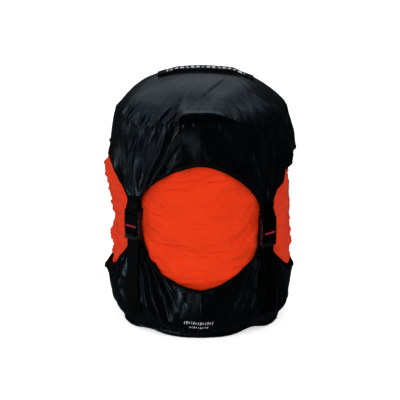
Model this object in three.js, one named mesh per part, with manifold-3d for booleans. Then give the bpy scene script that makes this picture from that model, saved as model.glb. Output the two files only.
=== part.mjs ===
// Compression sack: a stuffed drawcord sack squeezed between a top cap and a bottom cap. Each cap has four
// arms, and four webbing straps with ladder locks pull the arms together. Between the arms, the scalloped
// edges of the caps leave four round openings.
// Millimetres, +Z up, origin at the middle of the base, front towards -Y.
import * as THREE from "three";
import { mergeVertices } from "three/addons/utils/BufferGeometryUtils.js";
import Module from "manifold-3d";

const wasm = await Module();
wasm.setup();

// ---- Driving dimensions -------------------------------------------------------------------------------
const GAP = 0.4; // clearance between pieces that touch
const GIRTH_RADIUS = 90; // radius at which distances along the girth are laid out
const QUARTER = (Math.PI / 4) * GIRTH_RADIUS; // along the girth, from an arm's middle to an opening's middle
const FABRIC = 1.6; // thickness of a cap's fabric with its folds

const OPENING_HALF = 62; // round opening between four arms' edges: half its width along the girth
const OPENING_RISE = 60.5; // half its height
const OPENING_Z = 116; // height of the openings' centres
const BINDING_WIDTH = 3; // folded tape round each opening
const BINDING_PROUD = 0.4; // how far it stands out of the fabric
const TIP_HALF = 8.3; // half width of an arm's end
const TIP_REACH = 14; // distance from there to where its edge meets the round opening

const TOP_SEAM_Z = 215.5; // mean height of the seam between lid and skirt
const TOP_SEAM_WAVE = 5.5; // the straps pull the seam down at the arms and let it rise between them
const TOP_SEAM_RADIUS = 84;
const TOP_SHAPE = [25, -16.4, -3.2]; // how the top skirt's radius grows from seam to arm end
const BASE_SEAM_Z = 6;
const BASE_SEAM_RADIUS = 80;
const BASE_SHAPE = [62.75, -102.45, 49.1];
const BASE_FLAT_RADIUS = 72;
const LID_TOP = 252.4;
const DOME_RADIUS = 143; // the lid's crown is part of a sphere
const CROWN_REACH = 56; // out to this radius
const LID_SHOULDER = [[68, 18.5], [76, 11.5], [81.5, 5.5], [84, 1.6]]; // then [radius, height over the seam]

const SACK_RADIUS = 86.8;
const SACK_CLEARANCE = 1.2; // from the sack's wall to a cap's fabric
const SACK_WALL = 1.2;
const MOUTH_RADIUS = 18.2;
const MOUTH_Z = 240.7;

const WEBBING_WIDTH = 15;
const WEBBING = 1.2; // webbing thickness
const WEBBING_REST = 0.8; // from a cap's fabric to the webbing that lies along it
const STRAP_RADIUS = 90.4; // middle of the webbing where it runs up to a lock
const STRAP_START_Z = 22;
const TAIL_LENGTH = 62;

const LOCK_WIDTH = 20.2;
const LOCK_HEIGHT = 29;
const LOCK_PLATE = [91.3, 94.7]; // radial span of the frame
const LOCK_WINDOW = 15.9;
const LOCK_Z = 113.5; // middle of a lock whose strap is pulled fully tight
const BAR_RADIUS = 1.6; // round bar that the sewn loop holds
const BAR_AT = [92.9, 12.9]; // that bar's middle: radius, and height above the lock's middle
const CROSSBAR = { radial: [91.5, 94], height: [1.8, 4.7] };
const LIP_CHANNEL = 92.8; // underside of the lip that the strap's tail passes under
const TOP_ARM_END = 17.5; // above a lock's middle
const BOTTOM_ARM_END = 11; // above it too: this arm ends behind the lock
const BOTTOM_ARM_FULL = 16.5; // below a lock's middle, from where the bottom arm runs straight up
const LOOP_SEWN = [22, 28]; // above a lock's middle, where its loop is sewn to the arm

const ARMS = [
  // drop: how far the lock sits below a fully tight one, because each strap is pulled by hand
  { name: "front_left", azimuth: -45, drop: 0 },
  { name: "front_right", azimuth: 45, drop: 7 },
  { name: "back_right", azimuth: 135, drop: 4 },
  { name: "back_left", azimuth: 225, drop: 3 },
];
const OPENINGS = ["front", "right", "back", "left"];

const COLOURS = {
  black_nylon: { color: 0x14171b, roughness: 0.55 },
  black_binding: { color: 0x0a0b0d, roughness: 0.7 },
  black_webbing: { color: 0x101214, roughness: 0.8 },
  black_acetal: { color: 0x0d0e10, roughness: 0.35 },
  orange_nylon: { color: 0xe23a18, roughness: 0.6 },
  red_thread: { color: 0xb3202a, roughness: 0.7 },
  steel: { color: 0xb8babd, roughness: 0.3, metalness: 1 },
  down_fill: { color: 0xc8ccd0, roughness: 0.9 },
};

// ---- Helpers ------------------------------------------------------------------------------------------
const rad = THREE.MathUtils.degToRad;
const lerp = THREE.MathUtils.lerp;
const model = new THREE.Group();

function addMesh(name, geometry, look) {
  const mesh = new THREE.Mesh(geometry, new THREE.MeshStandardMaterial({ metalness: 0, ...COLOURS[look] }));
  mesh.name = name;
  model.add(mesh);
  return mesh;
}

// A point at an angle round the axis, 0 at the front and growing towards +X.
function around(angle, radius, z) {
  return new THREE.Vector3(radius * Math.sin(angle), -radius * Math.cos(angle), z);
}

// A closed solid between two grids of points, outer and inner, each a function of (column, row).
function shell(columns, rows, outer, inner) {
  const points = [];
  const faces = [];
  for (const layer of [outer, inner])
    for (let i = 0; i <= columns; i++)
      for (let j = 0; j <= rows; j++) points.push(...layer(i, j).toArray());
  const at = (layer, i, j) => (layer * (columns + 1) + i) * (rows + 1) + j;
  const quad = (a, b, c, d) => faces.push(a, b, c, a, c, d);
  for (let i = 0; i < columns; i++)
    for (let j = 0; j < rows; j++) {
      quad(at(0, i, j), at(0, i + 1, j), at(0, i + 1, j + 1), at(0, i, j + 1));
      quad(at(1, i, j), at(1, i, j + 1), at(1, i + 1, j + 1), at(1, i + 1, j));
    }
  for (let i = 0; i < columns; i++) {
    quad(at(0, i, 0), at(1, i, 0), at(1, i + 1, 0), at(0, i + 1, 0));
    quad(at(0, i, rows), at(0, i + 1, rows), at(1, i + 1, rows), at(1, i, rows));
  }
  for (let j = 0; j < rows; j++) {
    quad(at(0, 0, j), at(0, 0, j + 1), at(1, 0, j + 1), at(1, 0, j));
    quad(at(0, columns, j), at(1, columns, j), at(1, columns, j + 1), at(0, columns, j + 1));
  }
  return new THREE.BufferGeometry()
    .setAttribute("position", new THREE.Float32BufferAttribute(points, 3))
    .setIndex(faces);
}

// A solid of revolution about Z, from [radius, z] points that run anticlockwise.
function lathe(profile, segments) {
  const points = profile.map(([r, z]) => new THREE.Vector2(r, z));
  return new THREE.LatheGeometry(points, segments).rotateX(Math.PI / 2);
}

// A solid cut from a flat outline of [radius, z] points, as wide as width, standing at an azimuth.
function slab(outline, width, azimuth) {
  const shape = new THREE.Shape(outline.map(([r, z]) => new THREE.Vector2(r, z)));
  const geometry = new THREE.ExtrudeGeometry(shape, { depth: width, bevelEnabled: false, steps: 1 });
  return geometry.translate(0, 0, -width / 2).rotateX(Math.PI / 2).rotateZ(rad(azimuth - 90));
}

// The outline of a band of one thickness whose middle follows path.
function bandOutline(path, thickness) {
  const sides = [[], []];
  path.forEach((p, i) => {
    const before = path[Math.max(i - 1, 0)];
    const after = path[Math.min(i + 1, path.length - 1)];
    const length = Math.hypot(after[0] - before[0], after[1] - before[1]);
    const normal = [-(after[1] - before[1]) / length, (after[0] - before[0]) / length];
    for (const side of [0, 1]) {
      const k = (side ? -1 : 1) * (thickness / 2);
      sides[side].push([p[0] + normal[0] * k, p[1] + normal[1] * k]);
    }
  });
  return [...sides[0], ...sides[1].reverse()];
}

function webbing(path, azimuth, width = WEBBING_WIDTH, thickness = WEBBING) {
  return slab(bandOutline(path, thickness), width, azimuth);
}

function toSolid(geometry) {
  const bare = geometry.index ? geometry.toNonIndexed() : geometry.clone();
  bare.deleteAttribute("normal");
  bare.deleteAttribute("uv");
  const merged = mergeVertices(bare, 1e-4);
  return new wasm.Manifold(
    new wasm.Mesh({
      numProp: 3,
      vertProperties: merged.attributes.position.array,
      triVerts: new Uint32Array(merged.index.array),
    }),
  );
}

function toGeometry(solid) {
  const mesh = solid.getMesh();
  return new THREE.BufferGeometry()
    .setAttribute("position", new THREE.Float32BufferAttribute(mesh.vertProperties, 3))
    .setIndex([...mesh.triVerts]);
}

// A box from its low corner to its high corner.
function boxSolid(low, high) {
  const size = high.map((h, i) => h - low[i]);
  const middle = high.map((h, i) => (h + low[i]) / 2);
  return toSolid(new THREE.BoxGeometry(...size).translate(...middle));
}

// A round tube of one radius along a ring of points round the axis.
function ringTube(points, radius, sides) {
  const position = [];
  const faces = [];
  const at = (i, k) => (i % points.length) * sides + (k % sides);
  points.forEach((point, i) => {
    const outwards = new THREE.Vector3(point.x, point.y, 0).normalize();
    for (let k = 0; k < sides; k++) {
      const a = (k / sides) * 2 * Math.PI;
      const corner = point.clone().addScaledVector(outwards, radius * Math.cos(a));
      position.push(corner.x, corner.y, corner.z + radius * Math.sin(a));
      faces.push(at(i, k), at(i + 1, k), at(i + 1, k + 1), at(i, k), at(i + 1, k + 1), at(i, k + 1));
    }
  });
  return new THREE.BufferGeometry()
    .setAttribute("position", new THREE.Float32BufferAttribute(position, 3))
    .setIndex(faces);
}

// ---- Shape of the caps --------------------------------------------------------------------------------
const cubic = ([a, b, c], t) => t * (a + t * (b + t * c));
const lockZ = (arm) => LOCK_Z - arm.drop;

// Radius of the top skirt at a height, beside a lock at a height of its own.
function topRadius(z, lock) {
  return TOP_SEAM_RADIUS + cubic(TOP_SHAPE, (TOP_SEAM_Z - z) / (TOP_SEAM_Z - lock - TOP_ARM_END));
}

// The same for the bottom skirt, which keeps its radius from just under the lock upwards.
function bottomRadius(z, lock) {
  const full = lock - BOTTOM_ARM_FULL;
  return BASE_SEAM_RADIUS + cubic(BASE_SHAPE, (Math.min(z, full) - BASE_SEAM_Z) / (full - BASE_SEAM_Z));
}

const topSeam = (angle) => TOP_SEAM_Z + TOP_SEAM_WAVE * Math.cos(4 * angle);
const SEAM_MARGIN = 1.7; // from a seam's welt to the fabric on each side
const WELT_RADIUS = 1.2;

const CAPS = {
  top: { up: 1, radiusAt: topRadius, seamAt: topSeam, armEnd: TOP_ARM_END },
  bottom: { up: -1, radiusAt: bottomRadius, seamAt: () => BASE_SEAM_Z, armEnd: BOTTOM_ARM_END },
};

// An arm's edge from its end to the middle of the opening beside it, moved into the fabric by an inset:
// distance along the girth from the arm's middle, and height.
function armEdge(arm, cap, inset) {
  const end = lockZ(arm) + cap.armEnd;
  const start = Math.asin(((end - OPENING_Z) * cap.up + TIP_REACH) / OPENING_RISE);
  const steps = 9;
  const arc = Array.from({ length: steps + 1 }, (_, i) => {
    const a = lerp(start, Math.PI / 2, i / steps);
    return [
      QUARTER - (OPENING_HALF + inset) * Math.cos(a),
      OPENING_Z + cap.up * (OPENING_RISE + inset) * Math.sin(a),
    ];
  });
  return [[TIP_HALF - inset, end], ...arc];
}

// One quarter of a cap's skirt, centred on an arm. Its rows are closer together near the seam.
function skirtPanel(arm, cap) {
  const half = armEdge(arm, cap, BINDING_WIDTH + GAP);
  const columns = [...half.map(([w, z]) => [-w, z]).reverse(), [0, half[0][1]], ...half];
  const shrink = 1 - GAP / QUARTER; // leaves a seam's gap between neighbours
  const rows = 6;
  const layer = (inset) => (i, j) => {
    const [w, edge] = columns[i];
    const angle = rad(arm.azimuth) + (w * shrink) / GIRTH_RADIUS;
    const fromSeam = ((cap.up > 0 ? rows - j : j) / rows) ** 1.5;
    const z = lerp(cap.seamAt(angle) - cap.up * SEAM_MARGIN, edge, fromSeam);
    return around(angle, cap.radiusAt(z, lockZ(arm)) - inset, z);
  };
  return shell(columns.length - 1, rows, layer(0), layer(FABRIC));
}

// The tape along half of an opening's edge, from one arm's end to the next.
function binding(from, to, cap) {
  const inner = [0, BINDING_WIDTH].map((inset) => {
    const first = armEdge(from, cap, inset);
    const last = armEdge(to, cap, inset).reverse().slice(1);
    const place = (arm, side, [w, z], share) => ({
      angle: rad(arm.azimuth) + (side * w) / GIRTH_RADIUS,
      z,
      lock: lerp(lockZ(arm), (lockZ(from) + lockZ(to)) / 2, share),
    });
    const middle = first.length - 1;
    return [
      ...first.map((p, i) => place(from, 1, p, i / middle)),
      ...last.map((p, i) => place(to, -1, p, 1 - (i + 1) / middle)),
    ];
  });
  const layer = (offset) => (i, j) => {
    const { angle, z, lock } = inner[cap.up > 0 ? j : 1 - j][i];
    return around(angle, cap.radiusAt(z, lock) + offset, z);
  };
  return shell(inner[0].length - 1, 1, layer(BINDING_PROUD), layer(-FABRIC - BINDING_PROUD));
}

// Welt: the rolled edge of a seam that runs once round the sack.
function seamWelt(radiusOf, seamOf) {
  const steps = 40;
  const points = Array.from({ length: steps }, (_, i) => {
    const angle = (i / steps) * 2 * Math.PI;
    return around(angle, radiusOf(angle), seamOf(angle));
  });
  return ringTube(points, WELT_RADIUS, 6);
}

// ---- Stuffed sack -------------------------------------------------------------------------------------
const SACK_SEGMENTS = 32;

function sackRadius(z) {
  const under = bottomRadius(z, LOCK_Z);
  const over = topRadius(Math.max(z, LOCK_Z + TOP_ARM_END), LOCK_Z);
  return Math.min(SACK_RADIUS, Math.min(under, over) - FABRIC - SACK_CLEARANCE);
}

// The sack's side and shoulder, inset by a distance, from the base seam to the mouth.
function sackSide(inset) {
  const heights = [5.5, 10, 16, 25, 60, 116, 185, 200];
  const shoulder = [[80.5, 206], [78, 213], [72, 222], [62, 230], [50, 236], [36, 240], [26, 239]];
  const side = heights.map((z) => [sackRadius(z) - inset, z]);
  return [...side, ...shoulder.map(([r, z]) => [r - inset, z - inset])];
}

function buildSack() {
  const outer = [...sackSide(0), [MOUTH_RADIUS, MOUTH_Z]];
  const inner = [...sackSide(SACK_WALL), [MOUTH_RADIUS, MOUTH_Z - SACK_WALL]];
  const wall = [...outer, ...inner.reverse()];
  addMesh("sack_wall", lathe([...wall, wall[0]], SACK_SEGMENTS), "orange_nylon");

  const baseRadius = sackRadius(5.5) - 2;
  const base = [
    [0, 2.2],
    [baseRadius - 3, 2.2],
    [baseRadius, 4],
    [baseRadius, 5.1],
    [baseRadius - 3, 3.4],
    [0, 3.4],
  ];
  addMesh("sack_base_panel", lathe(base, SACK_SEGMENTS), "orange_nylon");

  const skin = SACK_WALL + GAP + 0.3;
  const top = BARREL.bottom - 1.3;
  const load = [[0, 4.2], [baseRadius - 6, 4.2], ...sackSide(skin).slice(1), [MOUTH_RADIUS, top], [0, top]];
  addMesh("packed_load", lathe(load, SACK_SEGMENTS), "down_fill");
}

// ---- Drawcord closure at the sack's mouth -------------------------------------------------------------
const CORD_RING_RADIUS = 13.4;
const CORD_RADIUS = 1.25;
const CORD_Z = 243;
const HEM_WALL = 1;
const HEM_HALF = 4.4; // half width of the hem's channel, outside
const BARREL = { radius: 4.6, wall: 1, bottom: 234, top: 246 };
const PLUNGER = { radius: 3.2, bottom: 240, top: 248.8 };
const CORD_HOLE = 1.9; // radius
const PRESS_DEPTH = 1.6; // how much longer the plunger's hole is than the barrel's
const SPRING = { radius: 2.4, wire: 0.3, turns: 3, stepsPerTurn: 10 };

// A turned piece that stands on the cord's ring, at the back.
const onRing = (profile, segments) => lathe(profile, segments).translate(0, CORD_RING_RADIUS, 0);

function buildClosure() {
  // Gathered hem: a channel, open upwards, with a gap at the back where the cord comes out.
  const floor = CORD_Z - CORD_RADIUS - GAP - HEM_WALL;
  const rim = CORD_Z + 2.4;
  const [out, into] = [CORD_RING_RADIUS + HEM_HALF, CORD_RING_RADIUS - HEM_HALF];
  const hem = [
    [out, floor],
    [out, rim],
    [out - HEM_WALL, rim],
    [out - HEM_WALL, floor + HEM_WALL],
    [into + HEM_WALL, floor + HEM_WALL],
    [into + HEM_WALL, rim],
    [into, rim],
    [into, floor],
    [out, floor],
  ];
  const reach = BARREL.radius + GAP;
  const gap = boxSolid([-reach, 4, floor - 1], [reach, 20, rim + 1]);
  addMesh("mouth_hem", toGeometry(toSolid(lathe(hem, 24)).subtract(gap)), "orange_nylon");

  const steps = 24;
  const ring = Array.from({ length: steps }, (_, i) => {
    return around((i / steps) * 2 * Math.PI, CORD_RING_RADIUS, CORD_Z);
  });
  addMesh("drawcord", ringTube(ring, CORD_RADIUS, 6), "black_webbing");

  // Cord lock: a sprung plunger in a barrel, both pierced for the cord, which bends a little through them.
  const bore = new THREE.CylinderGeometry(CORD_HOLE, CORD_HOLE, 14, 12).rotateZ(Math.PI / 2);
  const boreAt = (z) => toSolid(bore.clone().translate(0, CORD_RING_RADIUS - 0.4, z));
  const barrelFloor = BARREL.bottom + BARREL.wall;
  const barrel = [
    [0, BARREL.bottom],
    [BARREL.radius, BARREL.bottom],
    [BARREL.radius, BARREL.top],
    [BARREL.radius - BARREL.wall, BARREL.top],
    [BARREL.radius - BARREL.wall, barrelFloor],
    [0, barrelFloor],
  ];
  const boredBarrel = toSolid(onRing(barrel, 16)).subtract(boreAt(CORD_Z));
  addMesh("cord_lock_barrel", toGeometry(boredBarrel), "black_acetal");

  const plunger = [
    [0, PLUNGER.bottom],
    [PLUNGER.radius, PLUNGER.bottom],
    [PLUNGER.radius, PLUNGER.top],
    [0, PLUNGER.top],
  ];
  const slotDepth = CORD_HOLE + 0.4;
  const slot = boxSolid(
    [-7, CORD_RING_RADIUS - slotDepth, CORD_Z],
    [7, CORD_RING_RADIUS + slotDepth - 0.8, CORD_Z + PRESS_DEPTH],
  );
  const pierced = toSolid(onRing(plunger, 16))
    .subtract(boreAt(CORD_Z))
    .subtract(boreAt(CORD_Z + PRESS_DEPTH))
    .subtract(slot);
  addMesh("cord_lock_plunger", toGeometry(pierced), "black_acetal");

  const coilSteps = SPRING.turns * SPRING.stepsPerTurn;
  const clear = GAP + SPRING.wire;
  const coil = Array.from({ length: coilSteps + 1 }, (_, i) => {
    const a = (i / SPRING.stepsPerTurn) * 2 * Math.PI;
    const z = lerp(barrelFloor + clear, PLUNGER.bottom - clear, i / coilSteps);
    return new THREE.Vector3(SPRING.radius * Math.cos(a), CORD_RING_RADIUS + SPRING.radius * Math.sin(a), z);
  });
  const corners = [[1, 0], [0, 1], [-1, 0], [0, -1]];
  const wireCorners = corners.map(([x, y]) => new THREE.Vector2(x, y).multiplyScalar(SPRING.wire));
  const section = new THREE.Shape(wireCorners);
  const spring = new THREE.ExtrudeGeometry(section, {
    steps: coilSteps,
    bevelEnabled: false,
    extrudePath: new THREE.CatmullRomCurve3(coil),
  });
  addMesh("cord_lock_spring", spring, "steel");
}

// ---- Bottom cap ---------------------------------------------------------------------------------------
function buildBottomCap() {
  const base = [
    [0, 0],
    [BASE_FLAT_RADIUS, 0],
    [77, 1.6],
    [79.2, 4.4],
    [78, 5.2],
    [75.8, 3.1],
    [BASE_FLAT_RADIUS - 0.4, FABRIC],
    [0, FABRIC],
  ];
  addMesh("base_panel", lathe(base, 40), "black_nylon");
  addMesh("base_seam_welt", seamWelt(() => BASE_SEAM_RADIUS + 0.9, () => BASE_SEAM_Z - 0.3), "black_binding");
  for (const arm of ARMS) addMesh("bottom_skirt_" + arm.name, skirtPanel(arm, CAPS.bottom), "black_nylon");
}

// ---- Top cap ------------------------------------------------------------------------------------------
const lidRimRadius = (angle) => topRadius(topSeam(angle) + SEAM_MARGIN, LOCK_Z);

const crownTop = (r) => LID_TOP - (r * r) / (2 * DOME_RADIUS);
const seamShare = (r) => (r / TOP_SEAM_RADIUS) ** 4; // how much a point of the lid follows the seam's wave

// The lid is a turned dome whose rim is then bent to follow the wavy seam.
function lidGeometry() {
  const crown = [0, 20, 38, CROWN_REACH].map((r) => [r, crownTop(r)]);
  const top = [...crown, ...LID_SHOULDER.map(([r, rise]) => [r, TOP_SEAM_Z + rise])];
  const under = top.map(([r, z]) => [r * (1 - FABRIC / TOP_SEAM_RADIUS), z - FABRIC + (r > 80 ? 1 : 0)]);
  const geometry = lathe([...under, ...top.reverse()], 36);
  const position = geometry.getAttribute("position");
  for (let i = 0; i < position.count; i++) {
    const [x, y, z] = [position.getX(i), position.getY(i), position.getZ(i)];
    const r = Math.hypot(x, y);
    const angle = Math.atan2(x, -y);
    const share = seamShare(r);
    const scale = 1 + (share * (lidRimRadius(angle) - TOP_SEAM_RADIUS)) / TOP_SEAM_RADIUS;
    position.setXYZ(i, x * scale, y * scale, z + share * (topSeam(angle) - TOP_SEAM_Z));
  }
  return geometry;
}

// Grab handle across the lid: a webbing band that follows the crown, sewn down at its two ends.
const HANDLE_WIDTH = 15;
const HANDLE_THICKNESS = 1.5;
const HANDLE_OFFSET = 5; // it is sewn a little to the right of the lid's middle
const HANDLE_REACH = 47; // half its length
const HANDLE_TAB = 9; // sewn length at each end
const HANDLE_SLACK = 2; // how far its middle stands off the lid

function buildHandle() {
  const freeHalf = HANDLE_REACH - HANDLE_TAB - GAP;
  const lidTop = (x) => crownTop(x) + seamShare(Math.abs(x)) * TOP_SEAM_WAVE;
  const bandAt = (x, lift) => [x, lidTop(x) + GAP + lift + HANDLE_THICKNESS / 2];
  const steps = 10;
  const arch = Array.from({ length: steps + 1 }, (_, i) => {
    const along = lerp(-1, 1, i / steps);
    const slack = (HANDLE_SLACK - GAP) * Math.min(1, 4 * (1 - Math.abs(along)));
    return bandAt(HANDLE_OFFSET + along * freeHalf, slack);
  });
  addMesh("grab_handle", webbing(arch, 90, HANDLE_WIDTH, HANDLE_THICKNESS), "black_webbing");
  for (const [name, side] of [["right", 1], ["left", -1]]) {
    const ends = [HANDLE_REACH, HANDLE_REACH - HANDLE_TAB / 2, HANDLE_REACH - HANDLE_TAB];
    const tab = ends.map((x) => bandAt(HANDLE_OFFSET + side * x, 0));
    addMesh("handle_tab_" + name, webbing(tab, 90, HANDLE_WIDTH, HANDLE_THICKNESS), "black_webbing");
  }
}

function buildTopCap() {
  addMesh("lid_panel", lidGeometry(), "black_nylon");
  const weltRadius = (angle) => topRadius(topSeam(angle), LOCK_Z) + 0.7;
  addMesh("lid_seam_welt", seamWelt(weltRadius, topSeam), "black_binding");
  for (const arm of ARMS) addMesh("top_skirt_" + arm.name, skirtPanel(arm, CAPS.top), "black_nylon");
}

function buildBindings() {
  OPENINGS.forEach((name, i) => {
    const from = ARMS[i];
    const to = ARMS[(i + 1) % ARMS.length];
    for (const [half, cap] of Object.entries(CAPS))
      addMesh(`${half}_binding_${name}`, binding(from, to, cap), "black_binding");
  });
}

// ---- Straps and ladder locks --------------------------------------------------------------------------
// Heights in a lock are measured from its middle; x runs across it, y up and z outwards.
function lockGeometry() {
  const half = LOCK_WIDTH / 2;
  const tall = LOCK_HEIGHT / 2;
  const corner = 3.2;
  const outline = new THREE.Shape();
  outline.moveTo(-half, -tall + 2 * corner);
  outline.quadraticCurveTo(-half, -tall, -half + corner, -tall);
  outline.lineTo(half - corner, -tall);
  outline.quadraticCurveTo(half, -tall, half, -tall + 2 * corner);
  outline.lineTo(half, tall - corner);
  outline.quadraticCurveTo(half, tall, half - corner, tall);
  outline.lineTo(-half + corner, tall);
  outline.quadraticCurveTo(-half, tall, -half, tall - corner);
  const plate = new THREE.ExtrudeGeometry(outline, {
    depth: LOCK_PLATE[1] - LOCK_PLATE[0],
    bevelEnabled: false,
    curveSegments: 3,
  }).translate(0, 0, LOCK_PLATE[0]);
  const window = LOCK_WINDOW / 2;
  const lipBottom = -tall + 3.4;
  const cutUp = boxSolid([-window, lipBottom, 80], [window, tall + 2, 100]);
  const cutChannel = boxSolid([-window, -tall - 2, 80], [window, 0, LIP_CHANNEL]);
  const bar = new THREE.CylinderGeometry(BAR_RADIUS, BAR_RADIUS, LOCK_WIDTH - 2, 12).rotateZ(Math.PI / 2);
  const crossbar = boxSolid(
    [-window - 1, CROSSBAR.height[0], CROSSBAR.radial[0]],
    [window + 1, CROSSBAR.height[1], CROSSBAR.radial[1]],
  );
  const lipOutline = [
    [-tall - 0.6, 96.6],
    [-tall - 0.6, 95.2],
    [-tall + 0.6, 93.2],
    [lipBottom, 93.2],
    [lipBottom, 94.6],
  ];
  const lipShape = new THREE.Shape(lipOutline.map(([y, z]) => new THREE.Vector2(y, z)));
  const lipWidth = LOCK_WINDOW - 1;
  const lip = new THREE.ExtrudeGeometry(lipShape, { depth: lipWidth, bevelEnabled: false })
    .applyMatrix4(new THREE.Matrix4().set(0, 0, 1, 0, 1, 0, 0, 0, 0, 1, 0, 0, 0, 0, 0, 1))
    .translate(-lipWidth / 2, 0, 0);
  return toGeometry(
    toSolid(plate)
      .subtract(cutUp)
      .subtract(cutChannel)
      .add(toSolid(bar.translate(0, BAR_AT[1], BAR_AT[0])))
      .add(crossbar)
      .add(toSolid(lip)),
  );
}

// From a lock's own axes to its place: x across, y up, z outwards at the arm's azimuth.
function placeLock(mesh, arm) {
  const angle = rad(arm.azimuth);
  const across = new THREE.Vector3(Math.cos(angle), Math.sin(angle), 0);
  const outwards = around(angle, 1, 0);
  mesh.applyMatrix4(new THREE.Matrix4().makeBasis(across, new THREE.Vector3(0, 0, 1), outwards));
  mesh.position.z = lockZ(arm);
}

// The sewn loop: down behind the round bar, round it, and back up in front.
function loopPath(z) {
  const r = BAR_RADIUS + 0.3 + WEBBING / 2;
  const steps = 6;
  const turn = Array.from({ length: steps + 1 }, (_, i) => {
    const a = Math.PI * (1 + i / steps);
    return [BAR_AT[0] + r * Math.cos(a), z + BAR_AT[1] + r * Math.sin(a)];
  });
  const back = (height) => topRadius(z + height, z) + GAP + WEBBING / 2;
  const front = (height) => back(height) + WEBBING + 0.3;
  return [
    ...LOOP_SEWN.toReversed().map((height) => [back(height), z + height]),
    ...turn,
    [94.6, z + 16.5],
    ...LOOP_SEWN.map((height) => [front(height), z + height]),
  ];
}

// The strap's turn over the crossbar, then down and under the lip.
function turnPath(z) {
  const path = [
    [90.4, 1.5],
    [90.4, 4.6],
    [91.5, 5.9],
    [93.9, 5.9],
    [95, 4.6],
    [95, -2.4],
    [94.1, -5.5],
    [92.2, -9.2],
    [91.9, -11.4],
    [92.1, -15],
  ];
  return path.map(([r, y]) => [r, z + y]);
}

function buildStraps() {
  const lock = lockGeometry();
  for (const arm of ARMS) {
    const z = lockZ(arm);
    const onArm = (height, lift) => [bottomRadius(height, z) + lift, height];
    const armFull = z - BOTTOM_ARM_FULL;
    const sewnHeights = [0, 0.1, 0.22, 0.36, 0.52, 0.68, 0.84].map((t) => lerp(STRAP_START_Z, armFull, t));
    const strap = [
      ...sewnHeights.map((h) => onArm(h, WEBBING_REST + WEBBING / 2)),
      [STRAP_RADIUS, armFull],
      [STRAP_RADIUS, z + 1.1],
    ];
    addMesh("strap_" + arm.name, webbing(strap, arm.azimuth), "black_webbing");

    const tailTop = z - 15.4;
    const hang = WEBBING_REST + WEBBING * 1.5 + GAP; // clear of the strap beneath it
    const tailHeights = [0, 0.15, 0.3, 0.45, 0.6, 0.8, 1].map((t) => tailTop - t * TAIL_LENGTH);
    const tail = tailHeights.map((h) => onArm(h, hang));
    addMesh("strap_tail_" + arm.name, webbing(tail, arm.azimuth), "black_webbing");

    addMesh("strap_turn_" + arm.name, webbing(turnPath(z), arm.azimuth), "black_webbing");
    addMesh("buckle_loop_" + arm.name, webbing(loopPath(z), arm.azimuth), "black_webbing");
    placeLock(addMesh("ladder_lock_" + arm.name, lock, "black_acetal"), arm);
    const marker = [[96.2, z - 0.9], [96.2, z - 2.5]];
    addMesh("red_marker_" + arm.name, webbing(marker, arm.azimuth, 13, 0.6), "red_thread");
  }
}

buildSack();
buildClosure();
buildBottomCap();
buildTopCap();
buildHandle();
buildBindings();
buildStraps();

export default model;
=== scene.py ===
"""Looks of the compression sack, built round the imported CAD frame.

A stuffed orange sack is squeezed between a domed black lid cap and a black bottom cap. Lengths in the shape
code are millimetres in the row frame, +Z up and the front towards -Y, and meshes are made in metres. An
azimuth is 0 at the front and grows towards +X.
"""

import math

import bmesh
import bpy
import numpy as np
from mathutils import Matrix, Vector


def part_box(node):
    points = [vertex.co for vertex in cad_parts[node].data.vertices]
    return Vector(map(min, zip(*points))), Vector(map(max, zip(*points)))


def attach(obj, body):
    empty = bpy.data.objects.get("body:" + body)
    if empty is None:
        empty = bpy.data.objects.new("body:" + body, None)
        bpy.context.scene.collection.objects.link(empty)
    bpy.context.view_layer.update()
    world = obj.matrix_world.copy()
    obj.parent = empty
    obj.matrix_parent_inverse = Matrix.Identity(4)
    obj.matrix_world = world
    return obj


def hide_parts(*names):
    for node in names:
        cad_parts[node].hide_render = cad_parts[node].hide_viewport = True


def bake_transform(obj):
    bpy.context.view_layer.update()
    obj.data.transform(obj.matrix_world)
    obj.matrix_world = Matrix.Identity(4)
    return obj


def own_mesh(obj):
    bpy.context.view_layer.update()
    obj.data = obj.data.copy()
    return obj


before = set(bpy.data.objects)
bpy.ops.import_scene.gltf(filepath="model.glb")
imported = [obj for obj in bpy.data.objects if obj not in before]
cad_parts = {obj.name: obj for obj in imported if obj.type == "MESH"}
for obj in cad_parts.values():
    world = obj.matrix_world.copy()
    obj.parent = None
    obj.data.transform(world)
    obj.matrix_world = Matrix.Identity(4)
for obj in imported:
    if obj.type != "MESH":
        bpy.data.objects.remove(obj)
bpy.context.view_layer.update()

MM = 0.001
GIRTH_RADIUS = 90.0  # where distances along the girth are laid out
QUARTER = math.pi / 4 * GIRTH_RADIUS  # from an arm's middle to an opening's middle, along the girth
ARMS = {"front_left": -45, "front_right": 45, "back_right": 135, "back_left": 225}
OPENINGS = {"front": 0, "right": 90, "back": 180, "left": 270}

# Shape of the caps, as in the CAD.
OPENING_PEAK = {1: 177.3, -1: 54.4}  # heights of the openings' upper and lower edges at their middles
MEAN_OPENING_Z = (OPENING_PEAK[1] + OPENING_PEAK[-1]) / 2
OPENING_ROUND = 1.56  # exponent of the superellipse that an arm's free edge follows
TIP_HALF = 8.5  # half the width of an arm beside its lock
BOTTOM_WIDENS = 97.0  # below this height the bottom arms widen
TOP_SEAM_RADIUS = 84.0
TOP_SEAM_Z = 215.5
TOP_SHAPE = (25.0, -16.4, -3.2)  # of the cubic from the seam to an arm's end
BASE_SEAM_RADIUS = 80.0
BASE_SEAM_Z = 6.0
BASE_SHAPE = (62.75, -102.45, 49.1)
LID_TOP = 252.4
DOME_RADIUS = 143.0
LOCK_HALF_HEIGHT = 14.5
TOP_ARM_END = 17.5  # where the top arms end, above a lock's middle
BOTTOM_ARM_END = 17.0  # where the bottom arms end, behind the locks
BOTTOM_ARM_FULL = 16.5  # how far below a lock's middle the bottom cap stops getting wider
SACK_RADIUS = 86.8
FABRIC = 0.5  # thickness of the caps' fabric


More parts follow.
